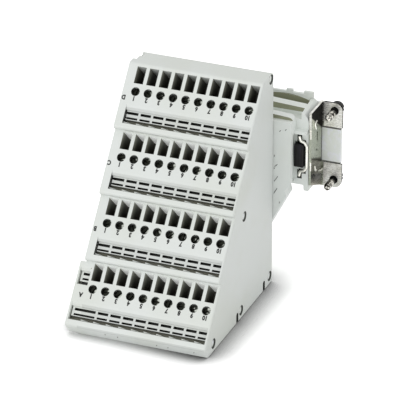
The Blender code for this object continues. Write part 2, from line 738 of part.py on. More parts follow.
def pocket_roofs():
    """A short shelf over each latch pocket, between the front plate and the end wall."""
    low_z = CONNECTOR_HEIGHT + POCKET_TOP + HOOD_JOIN_STEP
    back = HOOD_Y + HOOD_STEP
    spans = []
    for side in (-1, 1):
        x_low, x_high = sorted((side * (HOOD_FRONT_HALF - HOOD_JOIN), side * (HOOD_HALF - HOOD_JOIN_STEP)))
        high = (x_high, back + HOOD_JOIN / 2, low_z + POCKET_ROOF)
        spans.append(((x_low, back - POCKET_ROOF_DEPTH, low_z), high))
    return boxes("pocket_roofs", spans)


def hood_cutters():
    grooves = []
    for near, far in RIB_GROOVES:
        y_low = HOOD_Y + near * mm
        y_high = HOOD_Y + far * mm
        floor = hood_top(y_low) - RIB_GROOVE_DEPTH
        low = (-RIB_GROOVE_HALF, y_low, floor)
        grooves.append((low, (RIB_GROOVE_HALF, y_high, CONNECTOR_HEIGHT + HOOD_TOP + CUT_OVER * 3)))
    ledge_back = HOOD_Y + FRONT_LEDGE
    low = (-HOOD_HALF, HOOD_Y - CUT_OVER, hood_top(ledge_back) - FRONT_LEDGE_DROP)
    grooves.append((low, (HOOD_HALF, ledge_back, CONNECTOR_HEIGHT + HOOD_TOP + CUT_OVER * 3)))
    pockets = []
    seats = []
    outer = HOOD_HALF - END_WALL
    for side in (-1, 1):
        x_low, x_high = sorted((side * POCKET_INNER, side * outer))
        low = (x_low, HOOD_Y + HOOD_PLATE, CONNECTOR_HEIGHT - POCKET_BOTTOM)
        pockets.append((low, (x_high, POCKET_BACK_Y, CONNECTOR_HEIGHT + POCKET_TOP)))
        x_low, x_high = sorted((side * (latch_x() - LATCH_WIDTH / 2 - SEAM), side * (latch_x() + LATCH_WIDTH / 2 + SEAM)))
        back = latch_front() + LATCH_DEPTH + SEAM
        half = LATCH_HALF_HEIGHT + SEAM
        low = (x_low, HOOD_Y + HOOD_PLATE + CUT_OVER, CONNECTOR_HEIGHT - half)
        seats.append((low, (x_high, back, CONNECTOR_HEIGHT + half)))
    depth = BODY_DEPTH + SEAM
    low = (-BODY_HALF_WIDTH - SEAM, HOOD_REAR_Y - depth, CONNECTOR_HEIGHT - BODY_HALF_HEIGHT - SEAM)
    high = (BODY_HALF_WIDTH + SEAM, HOOD_REAR_Y + CUT_OVER, CONNECTOR_HEIGHT + BODY_HALF_HEIGHT + SEAM)
    cutters = (("rib_grooves", grooves), ("latch_pockets", pockets), ("latch_seats", seats), ("body_room", [(low, high)]))
    return [to_cutter(name, boxes(name, spans)) for name, spans in cutters]


def make_hood():
    front = lean_top(extruded("connector_hood", hood_front_outline(), HOOD_Y, HOOD_Y + HOOD_STEP + HOOD_JOIN, "Y"))
    hood = to_piece("connector_hood", front, PALE_PLASTIC)
    rear = lean_top(extruded("hood_rear", hood_rear_outline(), HOOD_Y + HOOD_STEP, HOOD_REAR_Y, "Y"))
    cut(hood, to_cutter("hood_rear", rear), "UNION")
    rim, lugs = top_lugs()
    cut(hood, to_cutter("hood_rim", rim), "UNION")
    cut(hood, to_cutter("hood_lugs", lugs), "UNION")
    cut(hood, to_cutter("pocket_roofs", pocket_roofs()), "UNION")
    for cutter in hood_cutters():
        cut(hood, cutter)
    return hood


# Contact insert

def make_insert():
    middle = CONNECTOR_HEIGHT
    tongue = EAR_INNER - SEAM
    half = FLANGE_HALF_WIDTH - TONGUE_SHORTFALL
    plate_low = (-half, FLANGE_Y, middle - PLATE_HALF_HEIGHT)
    plate_high = (half, FLANGE_Y + PLATE_DEPTH, middle + PLATE_HALF_HEIGHT)
    insert = to_piece("contact_insert", boxes("contact_insert", [(plate_low, plate_high)]), PALE_PLASTIC)
    notches = []
    for side in (-1, 1):
        for level in (-1, 1):
            x_low, x_high = sorted((side * HOOD_HALF, side * (FLANGE_HALF_WIDTH + CUT_OVER)))
            z_low, z_high = sorted((level * tongue, level * FLANGE_HALF_WIDTH))
            low = (x_low, FLANGE_Y - CUT_OVER, middle + z_low)
            notches.append((low, (x_high, FLANGE_Y + PLATE_DEPTH + CUT_OVER, middle + z_high)))
    cut(insert, to_cutter("ear_notches", boxes("ear_notches", notches)))
    plug_low = (-MATING_HALF_WIDTH, FLANGE_Y + PLATE_DEPTH / 2, middle - MATING_HALF_HEIGHT)
    plug_high = (MATING_HALF_WIDTH, FLANGE_Y + PLATE_DEPTH + MATING_DEPTH, middle + MATING_HALF_HEIGHT)
    plug = to_cutter("mating_block", boxes("mating_block", [(plug_low, plug_high)], EDGE_RADIUS))
    cut(insert, plug, "UNION")
    body_low = (-BODY_HALF_WIDTH, FLANGE_Y - BODY_DEPTH, middle - BODY_HALF_HEIGHT)
    body_high = (BODY_HALF_WIDTH, FLANGE_Y + PLATE_DEPTH / 4, middle + BODY_HALF_HEIGHT)
    cut(insert, to_cutter("insert_body", boxes("insert_body", [(body_low, body_high)])), "UNION")
    bm = bmesh.new()
    face = FLANGE_Y + PLATE_DEPTH + MATING_DEPTH
    backwards = Matrix.Rotation(-pi / 2, 4, "X")
    for column in range(CONTACT_COLUMNS):
        for row in range(CONTACT_ROWS):
            x = (column - (CONTACT_COLUMNS - 1) / 2) * CONTACT_PITCH_X
            z = middle + (row - (CONTACT_ROWS - 1) / 2) * CONTACT_PITCH_Z
            place = Matrix.Translation((x, face, z)) @ backwards
            cylinder(bm, place, CONTACT_RADIUS, -CONTACT_DEPTH, CUT_OVER, 6)
    cut(insert, to_cutter("contact_holes", finish_mesh("contact_holes", bm)))
    return insert


# Metal flange brackets, their fixing screws and the locking springs

def bracket_wall():
    """The side of the bracket, whose foot rises away from the flange."""
    front = FLANGE_Y - BRACKET_REACH
    rear = FLANGE_Y + SHEET / 2
    top = CONNECTOR_HEIGHT + FLANGE_HALF_HEIGHT - HOOD_JOIN_STEP
    foot = CONNECTOR_HEIGHT - FLANGE_HALF_HEIGHT + HOOD_JOIN_STEP
    corners = [Vector((front, top)), Vector((rear, top)), Vector((rear, foot)), Vector((front, foot + BRACKET_RAKE))]
    return extruded("bracket_wall", corners, BRACKET_X, BRACKET_X + SHEET, "X")


def ear_mesh(name, level):
    """One ear of the bracket, above or below the insert's tongue."""
    middle = CONNECTOR_HEIGHT
    low = middle + level * EAR_INNER
    high = middle + level * FLANGE_HALF_HEIGHT
    edge = FLANGE_HALF_WIDTH
    corners = [Vector((BRACKET_X, low)), Vector((edge, low)), Vector((edge, high)), Vector((BRACKET_X, high))]
    return extruded(name, rounded(corners, (0, 0, EAR_CORNER, 0), 4), FLANGE_Y, FLANGE_Y + SHEET, "Y")


def bracket_mesh():
    middle = CONNECTOR_HEIGHT
    inner = BRACKET_X
    blank = bpy.data.objects.new("bracket_blank", bracket_wall())
    CUTTERS.objects.link(blank)
    cut(blank, to_cutter("upper_ear", ear_mesh("upper_ear", 1)), "UNION")
    cut(blank, to_cutter("lower_ear", ear_mesh("lower_ear", -1)), "UNION")
    slot_y = FLANGE_Y - BRACKET_REACH / 2
    slot_low = (inner - CUT_OVER, slot_y, middle + EAR_INNER - BRACKET_SLOT_LENGTH)
    slot = boxes("bracket_slot", [(slot_low, (inner + CUT_OVER * 2, slot_y + BRACKET_SLOT_WIDTH, middle + EAR_INNER))])
    cut(blank, to_cutter("bracket_slot", slot))
    gap_low = (inner - CUT_OVER, FLANGE_Y - SEAM, middle - EAR_INNER)
    gap_high = (FLANGE_HALF_WIDTH + CUT_OVER, FLANGE_Y + CUT_OVER * 2, middle + EAR_INNER)
    cut(blank, to_cutter("tongue_gap", boxes("tongue_gap", [(gap_low, gap_high)])))
    bm = bmesh.new()
    sideways = Matrix.Rotation(pi / 2, 4, "Y")
    place = Matrix.Translation((inner, slot_y, middle)) @ sideways
    cylinder(bm, place, BRACKET_HOLE_RADIUS, -CUT_OVER, CUT_OVER * 2, 8)
    backwards = Matrix.Rotation(-pi / 2, 4, "X")
    for side in (-1, 1):
        place = Matrix.Translation((FIX_HALF_WIDTH, FLANGE_Y, middle + side * FIX_HALF_HEIGHT)) @ backwards
        cylinder(bm, place, FIX_HOLE_RADIUS, -CUT_OVER, CUT_OVER * 2, 16)
    cut(blank, to_cutter("bracket_holes", finish_mesh("bracket_holes", bm)))
    return settled("flange_bracket", blank)


def fixing_screw_mesh():
    """Local Z points out of the mating face; the origin is on the axis at the front face of the ear."""
    head = SHEET + SEAM
    profile = [
        (0, head + FIX_HEAD_LENGTH),
        (FIX_HEAD_RADIUS * 0.9, head + FIX_HEAD_LENGTH),
        (FIX_HEAD_RADIUS, head + FIX_HEAD_LENGTH * 0.9),
        (FIX_HEAD_RADIUS, head),
        (FIX_SHANK_RADIUS, head),
        (FIX_SHANK_RADIUS, -FIX_TIP_REACH + FIX_SHANK_RADIUS / 2),
        (FIX_SHANK_RADIUS / 2, -FIX_TIP_REACH),
        (0, -FIX_TIP_REACH),
    ]
    screw = bpy.data.objects.new("fixing_blank", turned("fixing_blank", profile, 16))
    CUTTERS.objects.link(screw)
    top = head + FIX_HEAD_LENGTH
    reach = FIX_HEAD_RADIUS * 2
    low = (-reach, -FIX_SLOT_WIDTH / 2, top - FIX_SLOT_DEPTH)
    slot = to_cutter("fixing_slot", boxes("fixing_slot", [(low, (reach, FIX_SLOT_WIDTH / 2, top + CUT_OVER))]))
    cut(screw, slot)
    mesh = settled("fixing_screw", screw)
    mesh.materials.append(SCREW_STEEL)
    return mesh


def latch_x():
    """Middle of the locking block, between the hood's front plate and its end wall."""
    return HOOD_HALF - END_WALL - SEAM - LATCH_WIDTH / 2


def latch_front():
    return HOOD_Y + HOOD_STEP - LATCH_PROUD


def latch_mesh():
    x = latch_x()
    half = LATCH_WIDTH / 2
    low = (x - half, latch_front(), CONNECTOR_HEIGHT - LATCH_HALF_HEIGHT)
    high = (x + half, latch_front() + LATCH_DEPTH, CONNECTOR_HEIGHT + LATCH_HALF_HEIGHT)
    return boxes("locking_block", [(low, high)], SEAM)


def spring_mesh():
    """A bent wire that passes round the outer side of the locking block and hooks in above and below it."""
    middle = CONNECTOR_HEIGHT - SPRING_DROP
    y = HOOD_Y + SPRING_SETBACK
    back = HOOD_Y + HOOD_STEP - SEAM
    upper = [(HOOD_HALF - inset * mm, y, middle + LATCH_HALF_HEIGHT + rise * mm) for inset, rise in SPRING_ROUTE]
    upper.insert(0, (upper[0][0], back, upper[0][2]))
    route = upper + [(x, y, 2 * middle - z) for x, y, z in reversed(upper)]
    curve = bpy.data.curves.new("locking_spring", "CURVE")
    curve.dimensions = "3D"
    curve.bevel_depth = SPRING_WIRE / 2
    curve.bevel_resolution = 1
    curve.use_fill_caps = True
    spline = curve.splines.new("POLY")
    spline.points.add(len(route) - 1)
    for point, place in zip(spline.points, route):
        point.co = (*place, 1)
    guide = bpy.data.objects.new("locking_spring", curve)
    CUTTERS.objects.link(guide)
    bm = bmesh.new()
    bm.from_mesh(settled("locking_spring", guide))
    bmesh.ops.remove_doubles(bm, verts=bm.verts, dist=1e-6)
    return finish_mesh("locking_spring", bm)


def make_pairs():
    for name, mesh, material in (
        ("flange_bracket", bracket_mesh(), SHEET_STEEL),
        ("locking_block", latch_mesh(), DARK_PLASTIC),
        ("locking_spring", spring_mesh(), SHEET_STEEL),
    ):
        to_piece(name + "_left", mirrored(mesh, name + "_left"), material)
        to_piece(name + "_right", mesh, material)


def make_fixing_screws():
    mesh = fixing_screw_mesh()
    backwards = Matrix.Rotation(-pi / 2, 4, "X")
    for side, x in (("left", -FIX_HALF_WIDTH), ("right", FIX_HALF_WIDTH)):
        for level, rise in (("upper", FIX_HALF_HEIGHT), ("lower", -FIX_HALF_HEIGHT)):
            screw = bpy.data.objects.new(f"fixing_screw_{level}_{side}", mesh)
            screw.matrix_world = Matrix.Translation((x, FLANGE_Y, CONNECTOR_HEIGHT + rise)) @ backwards
            PIECES.objects.link(screw)


def make_connector():
    """Everything behind the rear cover, built about the plane X = 0 and then set off to its side."""
    before = set(bpy.data.objects)
    make_hood()
    make_insert()
    make_pairs()
    make_fixing_screws()
    for thing in set(bpy.data.objects) - before:
        thing.matrix_world = Matrix.Translation((CONNECTOR_X, 0, 0)) @ thing.matrix_world


make_housing()
make_rear_cover()
make_clamp_screws()
make_connector()
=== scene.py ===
from math import cos, pi, radians, sin

import bmesh
import bpy
from mathutils import Matrix, Vector


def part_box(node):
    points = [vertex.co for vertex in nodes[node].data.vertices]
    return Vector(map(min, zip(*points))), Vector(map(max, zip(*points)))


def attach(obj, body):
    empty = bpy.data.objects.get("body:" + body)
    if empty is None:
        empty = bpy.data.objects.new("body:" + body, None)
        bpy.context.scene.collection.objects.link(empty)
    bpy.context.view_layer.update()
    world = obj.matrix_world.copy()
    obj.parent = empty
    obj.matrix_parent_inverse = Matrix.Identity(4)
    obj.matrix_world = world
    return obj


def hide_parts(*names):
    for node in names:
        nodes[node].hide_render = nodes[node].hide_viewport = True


# Terminal block adapter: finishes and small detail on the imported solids
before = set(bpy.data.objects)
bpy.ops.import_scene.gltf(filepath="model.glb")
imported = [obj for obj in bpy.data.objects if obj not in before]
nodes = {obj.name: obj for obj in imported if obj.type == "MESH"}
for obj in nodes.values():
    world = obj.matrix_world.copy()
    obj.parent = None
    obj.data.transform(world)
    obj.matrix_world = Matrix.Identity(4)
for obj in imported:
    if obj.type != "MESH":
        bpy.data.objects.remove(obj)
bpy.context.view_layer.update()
scene = bpy.context.scene
mm = 0.001
print("frame loaded:", len(nodes), "solids")


def tint(red, green, blue):         # a colour as a picture editor shows it, made linear by the sRGB curve
    def linear(value):
        share = value / 255
        return share / 12.92 if share <= 0.04045 else ((share + 0.055) / 1.055) ** 2.4
    return linear(red), linear(green), linear(blue), 1.0


# Camera, lights and floor

shot = {
    "turn": radians(21.8236),       # round to the object's right
    "climb": radians(26.5231),      # above the floor
    "focal": 3736.2716,             # in pixels of the picture
    "picture": 408,
    "distance": 1398.524 * mm,
    "aim": Vector((0, -3.05, 40)) * mm,
    "shift": (11.37147 * mm, 4.48626 * mm),
    "sensor": 36,
    "reach": 20,                    # how far the camera sees, in metres
}


def placeCamera():
    turn, climb = shot["turn"], shot["climb"]
    right = Vector((cos(turn), sin(turn), 0))
    ahead = Vector((-sin(turn) * cos(climb), cos(turn) * cos(climb), -sin(climb)))
    above = right.cross(ahead)
    lens = bpy.data.cameras.new("camera")
    lens.sensor_width = shot["sensor"]
    lens.lens = shot["sensor"] * shot["focal"] / shot["picture"]
    lens.clip_end = shot["reach"]
    camera = bpy.data.objects.new("camera", lens)
    turned = Matrix((right, above, -ahead)).transposed().to_4x4()
    place = shot["aim"] + right * shot["shift"][0] + above * shot["shift"][1] - ahead * shot["distance"]
    camera.matrix_world = Matrix.Translation(place) @ turned
    scene.collection.objects.link(camera)
    scene.camera = camera


studio = {
    "sky": 0.80,                    # the even light of the room
    "keyFrom": Vector((-0.42, -0.86, 0.26)),
    "keyPower": 5.6,
    "keySize": 1.2,
    "keyAway": 1.3,
    "fillFrom": Vector((0.85, -0.35, 0.40)),
    "fillPower": 0.6,
    "fillSize": 1.0,
    "fillAway": 1.4,
    "floorSize": 9.0,
    "floorDrop": 0.02 * mm,
    "floorColour": (0.82, 0.82, 0.82, 1),
    "floorShown": (1.6, 1.6, 1.6, 1),  # what the camera sees, bright enough for a white page
    "floorGrain": (0.02, 0.99, 0.02),  # scale, least shade and what the grain adds
    "contact": 13 * mm,             # how far out the object darkens the floor
    "contactRays": 8,
    "softShade": 0.85,              # share of that shade on the left, which the key light reaches
    "fullShade": (-20.0, 30.0),     # from here to there, across in millimetres, it grows to its full depth
}


def placeLight(name, direction, power, size, away):
    lamp = bpy.data.lights.new(name, "AREA")
    lamp.shape = "DISK"
    lamp.size = size
    lamp.energy = power
    light = bpy.data.objects.new(name, lamp)
    light.location = shot["aim"] + direction.normalized() * away
    light.rotation_euler = direction.to_track_quat("Z", "Y").to_euler()
    scene.collection.objects.link(light)


# Node boards, for shaders and for Geometry Nodes

class Wire:                         # a socket that takes part in ordinary Python sums
    def __init__(self, board, socket):
        self.board = board
        self.socket = socket

    def other(self, output):        # another output of the same node
        return Wire(self.board, self.socket.node.outputs[output])

    def __add__(self, other):
        return self.board.maths("ADD", self, other)

    def __radd__(self, other):
        return self.board.maths("ADD", other, self)

    def __sub__(self, other):
        return self.board.maths("SUBTRACT", self, other)

    def __rsub__(self, other):
        return self.board.maths("SUBTRACT", other, self)

    def __mul__(self, other):
        return self.board.maths("MULTIPLY", self, other)

    def __rmul__(self, other):
        return self.board.maths("MULTIPLY", other, self)

    def __truediv__(self, other):
        return self.board.maths("DIVIDE", self, other)

    def __gt__(self, other):
        return self.board.maths("GREATER_THAN", self, other)

    def __lt__(self, other):
        return self.board.maths("LESS_THAN", self, other)

    def whole(self):
        return self.board.maths("FLOOR", self)

    def size(self):
        return self.board.maths("ABSOLUTE", self)

    def larger(self, other):
        return self.board.maths("MAXIMUM", self, other)

    def smaller(self, other):
        return self.board.maths("MINIMUM", self, other)

    def inside(self, low, high):    # 1 between two values
        return (self > low) * (self < high)

    def about(self, middle, reach):  # 1 within a reach of a value
        return (self - middle).size() < reach

    def between(self, low, high):   # 0 up to low, 1 from high, smooth in between
        ends = {"Value": self, "From Min": low, "From Max": high}
        return self.board.add("ShaderNodeMapRange", ends, {"interpolation_type": "SMOOTHSTEP"})


class Board:
    def feed(self, socket, value):
        if isinstance(value, Wire):
            self.tree.links.new(value.socket, socket)
        else:
            socket.default_value = value

    def add(self, kind, sockets=None, settings=None, out=0):
        node = self.tree.nodes.new(kind)
        for name, value in (settings or {}).items():
            setattr(node, name, value)
        for name, value in (sockets or {}).items():
            self.feed(node.inputs[name], value)
        return Wire(self, node.outputs[out]) if len(node.outputs) else node

    def maths(self, operation, *values):
        return self.add("ShaderNodeMath", dict(enumerate(values)), {"operation": operation})


class Look(Board):                  # one material
    def __init__(self, name):
        self.material = bpy.data.materials.new(name)
        self.material.use_nodes = True
        self.tree = self.material.node_tree
        self.tree.nodes.clear()

    def place(self):                # object coordinates in millimetres
        where = self.add("ShaderNodeTexCoord", out="Object")
        return self.add("ShaderNodeVectorMath", {0: where, "Scale": 1 / mm}, {"operation": "SCALE"})

    def split(self, vector):
        x = self.add("ShaderNodeSeparateXYZ", {0: vector})
        return x, x.other(1), x.other(2)

    def facing(self, direction):    # how far a face looks in a direction, -1 to 1
        normal = self.add("ShaderNodeNewGeometry", out="Normal")
        sockets = {0: normal, 1: tuple(direction)}
        return self.add("ShaderNodeVectorMath", sockets, {"operation": "DOT_PRODUCT"}, out="Value")

    def speckle(self, place, scale, detail=2.0):
        return self.add("ShaderNodeTexNoise", {"Vector": place, "Scale": scale, "Detail": detail})

    def stretched(self, place, scales):
        return self.add("ShaderNodeMapping", {"Vector": place, "Scale": scales})

    def mix(self, share, first, second):
        return self.add("ShaderNodeMix", {0: share, 6: first, 7: second}, {"data_type": "RGBA"}, out=2)

    def shaded(self, colour, share):  # a colour times a grey value
        grey = self.add("ShaderNodeCombineColor", {0: share, 1: share, 2: share})
        settings = {"data_type": "RGBA", "blend_type": "MULTIPLY"}
        return self.add("ShaderNodeMix", {0: 1.0, 6: colour, 7: grey}, settings, out=2)

    def finish(self, colour, roughness, relief=None, depth=0.0, **steady):
        sockets = {"Base Color": colour, "Roughness": roughness}
        if relief is not None:
            bump = {"Height": relief, "Distance": depth * mm, "Strength": 1.0}
            sockets["Normal"] = self.add("ShaderNodeBump", bump)
        for name, value in steady.items():
            sockets[name] = value
        shader = self.add("ShaderNodeBsdfPrincipled", sockets)
        self.add("ShaderNodeOutputMaterial", {"Surface": shader})
        return self.material


class Growth(Board):                # one Geometry Nodes tree
    def __init__(self, name, sizes):
        self.tree = bpy.data.node_groups.new(name, "GeometryNodeTree")
        sides = self.tree.interface
        for label, kind in {"Geometry": "Geometry", **sizes, "Finish": "Material"}.items():
            sides.new_socket(label, in_out="INPUT", socket_type="NodeSocket" + kind)
        sides.new_socket("Geometry", in_out="OUTPUT", socket_type="NodeSocketGeometry")
        self.entry = self.tree.nodes.new("NodeGroupInput")

    def given(self, label):
        return Wire(self, self.entry.outputs[label])

    def close(self, shape):
        real = self.add("GeometryNodeRealizeInstances", {0: shape})
        painted = self.add("GeometryNodeSetMaterial", {"Geometry": real, "Material": self.given("Finish")})
        self.add("NodeGroupOutput", {0: painted})
        return self.tree


def grow(name, tree, values, seed=None):  # a tree's result as a plain mesh object
    thing = bpy.data.objects.new(name, seed or bpy.data.meshes.new(name))
    scene.collection.objects.link(thing)
    modifier = thing.modifiers.new("growth", "NODES")
    modifier.node_group = tree
    for item in tree.interface.items_tree:
        if item.in_out == "INPUT" and item.name in values:
            modifier[item.identifier] = values[item.name]
    ready = thing.evaluated_get(bpy.context.evaluated_depsgraph_get())
    solid = bpy.data.meshes.new_from_object(ready)
    thing.modifiers.remove(modifier)
    thing.data = solid
    return thing


def keep(thing, body):
    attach(thing, body)
    return thing


def paint(material, *names):
    for name in names:
        for slot in nodes[name].material_slots:
            slot.material = material


def meshThing(name, mesh, material):
    thing = bpy.data.objects.new(name, mesh)
    mesh.materials.clear()
    mesh.materials.append(material)
    scene.collection.objects.link(thing)
    return thing


def paintSky():
    world = bpy.data.worlds.new("studio")
    world.use_nodes = True
    board = Board()
    board.tree = world.node_tree
    board.tree.nodes.clear()
    path = board.add("ShaderNodeLightPath", out="Is Camera Ray")
    shown = path.larger(path.other("Is Glossy Ray")).larger(path.other("Is Transmission Ray"))
    strength = studio["sky"] + (1 - studio["sky"]) * shown
    light = board.add("ShaderNodeBackground", {"Color": (1, 1, 1, 1), "Strength": strength})
    board.add("ShaderNodeOutputWorld", {"Surface": light})
    scene.world = world


def layFloor():
    half = studio["floorSize"] / 2
    mesh = bpy.data.meshes.new("floor")
    corners = [(-half, -half), (half, -half), (half, half), (-half, half)]
    mesh.from_pydata([(x, y, -studio["floorDrop"]) for x, y in corners], [], [(0, 1, 2, 3)])
    look = Look("paleFloor")
    place = look.place()
    path = look.add("ShaderNodeLightPath", out="Is Camera Ray")
    shown = path.larger(path.other("Is Glossy Ray"))
    scale, least, added = studio["floorGrain"]
    rays = {"samples": studio["contactRays"]}
    near = look.add("ShaderNodeAmbientOcclusion", {"Distance": studio["contact"]}, rays, out="AO")
    toRight = look.split(place)[0].between(*studio["fullShade"])
    soft = near * studio["softShade"] + (1.0 - studio["softShade"])
    shade = look.mix(toRight, soft, near * near)
    pale = look.mix(shown, studio["floorColour"], look.shaded(studio["floorShown"], shade))
    pale = look.shaded(pale, least + look.speckle(place, scale) * added)
    matt = look.add("ShaderNodeBsdfDiffuse", {"Color": pale})
    look.add("ShaderNodeOutputMaterial", {"Surface": matt})
    meshThing("floor", mesh, look.material)


placeCamera()
placeLight("keyLight", studio["keyFrom"], studio["keyPower"], studio["keySize"], studio["keyAway"])
placeLight("fillLight", studio["fillFrom"], studio["fillPower"], studio["fillSize"], studio["fillAway"])
paintSky()
layFloor()
scene.view_settings.view_transform = "Standard"
print("camera, lights and floor placed")

# Sizes of the block and the connector that the details below share, in millimetres

block = {
    "pitch": 5.08,
    "positions": 10,
    "rows": "ABCD",
    "firstWell": (-27.27, 16.36),   # depth and height of the lowest row's screws
    "rowStep": (14.2, 21.04),
    "tilt": radians(39.6),
    "rightWall": 26.06,
    "leftWall": -26.70,
    "front": -33.05,
}
connector = {"across": 3.1, "height": 53.0}
topRow = len(block["rows"]) - 1.0   # the lowest row is 0
square = 0.7                        # a face that looks this far in a direction counts as facing it
pinPlaces = [(5.0, 3.6), (33.2, 3.6), (36.1, 41.8), (63.2, 3.6), (63.2, 86.5)]  # from the front, and height
notchPlaces = [-2.2, 25.7]          # depths of the notches at the foot of the right wall
upFace = Vector((0, sin(block["tilt"]), cos(block["tilt"])))
outFace = Vector((0, -cos(block["tilt"]), sin(block["tilt"])))


def facePoint(row, x, rise, out=0.0):  # a point on a row's sloping face, in metres
    depth = block["firstWell"][0] + block["rowStep"][0] * row
    height = block["firstWell"][1] + block["rowStep"][1] * row
    return (Vector((x, depth, height)) + upFace * rise + outFace * out) * mm


def slide(face, depth, height):     # how far a step in depth and height goes along a direction
    return depth * face.y + height * face.z


# Finishes

plastic = {
    "pale": tint(221, 225, 222),
    "warm": tint(217, 221, 215),
    "slot": tint(40, 41, 36),       # painted shade in a slot or a gap
    "cloud": 0.05,                  # scale of the warm patches
    "patches": (0.35, 0.7),
    "grain": 3.2,                   # texture marks for each millimetre
    "detail": 3.0,
    "shade": (0.985, 0.03),         # the least, and what the grain adds
    "roughness": (0.46, 0.08),
    "relief": 0.012,
    "bending": 1.46,                # of light
}


def plasticGround(look, place):
    cloud = look.speckle(place, plastic["cloud"], plastic["detail"])
    fine = look.speckle(place, plastic["grain"], plastic["detail"])
    colour = look.mix(cloud.between(*plastic["patches"]), plastic["pale"], plastic["warm"])
    colour = look.shaded(colour, plastic["shade"][0] + fine * plastic["shade"][1])
    return colour, plastic["roughness"][0] + fine * plastic["roughness"][1], fine


def plasticFinish(look, colour, roughness, fine, relief=plastic["relief"], **steady):
    return look.finish(colour, roughness, fine, relief, IOR=plastic["bending"], **steady)


def paintCover():
    look = Look("coverPlastic")
    return plasticFinish(look, *plasticGround(look, look.place()))


housing = {
    "wall": tint(148, 150, 138),    # painted shade inside a wire funnel, near its mouth
    "deepShade": tint(50, 48, 41),       # and darker painted shade further in
    "roof": tint(206, 210, 206),    # its roof in the top row, in a little painted shade; also the painted light on a well's wall
    "bright": tint(244, 247, 244),  # its roof painted lighter in the rows that open under a nose
    "glowStrength": 0.3,                 # strength of the painted light that these roofs give off, though they are no lamp
    "wellShade": tint(52, 53, 49),   # painted shade on the dark side of a screw's well
    "channel": tint(112, 112, 98),  # painted shade inside the marker channel
    "recess": tint(92, 95, 90),     # painted shade in the ring round a side pin
    "downward": -0.4,               # a roof looks at least this far away from the upper side of the slope
    "lit": (-0.9, 0.1),             # from here to there a well's wall is painted as catching the light, by where it looks
    "rowFoot": 12.68,               # millimetres from here on; a row starts this far below its screws
    "openings": (-25.6, 25.5),      # across
    "skin": 0.06,                   # depth at which an opening starts
    "funnel": (2.6, 10.3),          # rises, up the slope from the screws; a depth goes into the slope
    "funnelTop": 9.8,
    "funnelFall": 7.0,
    "funnelDepths": (-0.6, 5.0),    # where the painted shade on its walls starts and where it is darkest
    "darkening": (0.75, 0.35),      # how much painted shade comes by depth, and down from its top
    "paintedGlow": (4.0, 8.0),             # rises between which the roofs give off painted light
    "well": 2.2,                    # half width
    "wellDepths": (5.0, 1.2),
    "marker": (-13.6, -5.0),        # rises of the marker groove
    "floor": (1.15, 1.3),           # depths that hold its floor
    "cut": 1.28,                    # depth at which its slots start
    "pocket": (-29.9, -25.5),       # across, at the left of the lowest row
    "pocketDeep": 5.0,
    "pocketHalf": 12.75,
    "slitRight": -28.9,
    "channelTop": -11.2,
    "channelLip": (-11.32, -10.98),
    "lipEnds": (-29.2, 25.5),
    "upperSlot": (-8.325, 0.51),    # middle and half height
    "lowerSlot": (-10.3, 0.39),
    "firstSlot": -24.5,             # left end of the first whole cell
    "slotShare": 0.41,              # half of a slot's length, in pitches
    "longSlot": (-28.35, -21.0),    # across, in the lowest row
    "shortSlot": (-28.35, -25.35),  # in the short groove beside its funnels
    "shortRise": 13.7,              # how much higher that groove lies
    "leftEnd": (-26.4, -24.8),
    "cove": (-4.6, -7.0),
    "coveDepths": (0.12, 1.28),
    "coveShade": 0.14,
    "sides": (25.3, -25.95),        # a face beyond these belongs to a side wall
    "leftTop": 80.0,                # heights under which the rings are shown
    "rightTop": 87.9,
    "ring": (1.7, 4.2),             # squares of the radii round a pin
    "notchSide": 25.2,
    "notchTop": 4.4,
    "notchHalf": 0.75,
}


def slopePlace(y, z):               # a point's row, its rise and its depth
    depth, height = y - block["firstWell"][0], z - block["firstWell"][1]
    along, outward = slide(upFace, depth, height), slide(outFace, depth, height)
    stepUp, stepOut = slide(upFace, *block["rowStep"]), slide(outFace, *block["rowStep"])
    row = ((along + housing["rowFoot"]) / stepUp).whole().larger(0.0).smaller(topRow)
    return row, along - row * stepUp, row * stepOut - outward


def paintFunnels(look, colour, x, row, rise, depth):
    byDepth, byFall = housing["darkening"]
    funnel = x.inside(*housing["openings"]) * rise.inside(*housing["funnel"]) * (depth > housing["skin"])
    down = look.facing(upFace) < housing["downward"]
    below = row < topRow - 0.5
    # painted shade: darker further into the funnel and further down from its top
    funnelShade = depth.between(*housing["funnelDepths"]) * byDepth
    funnelShade = funnelShade + (housing["funnelTop"] - rise).between(0.0, housing["funnelFall"]) * byFall
    wall = look.mix(funnelShade.smaller(1.0), housing["wall"], housing["deepShade"])
    roof = look.mix(below, housing["roof"], housing["bright"])
    # painted light: the roofs under a nose give off light of their own, though they are no lamp
    paintedGlow = funnel * down * below * rise.between(*housing["paintedGlow"])
    return look.mix(funnel, colour, look.mix(down, wall, roof)), paintedGlow


def paintWells(look, colour, x, rise, depth):
    well = x.inside(*housing["openings"]) * (rise.size() < housing["well"]) * (depth > housing["skin"])
    # painted light and shade in a screw's well: lighter where its wall looks left and near the mouth, darker
    # further in
    lit = look.facing((-1, 0, 0)).between(*housing["lit"]) * depth.between(*housing["wellDepths"])
    return look.mix(well, colour, look.mix(lit, housing["wellShade"], housing["roof"]))


def slotLines(rise):                # the two lines of marker slots, painted dark as shade a little wider than they are cut
    return rise.about(*housing["upperSlot"]).larger(rise.about(*housing["lowerSlot"]))


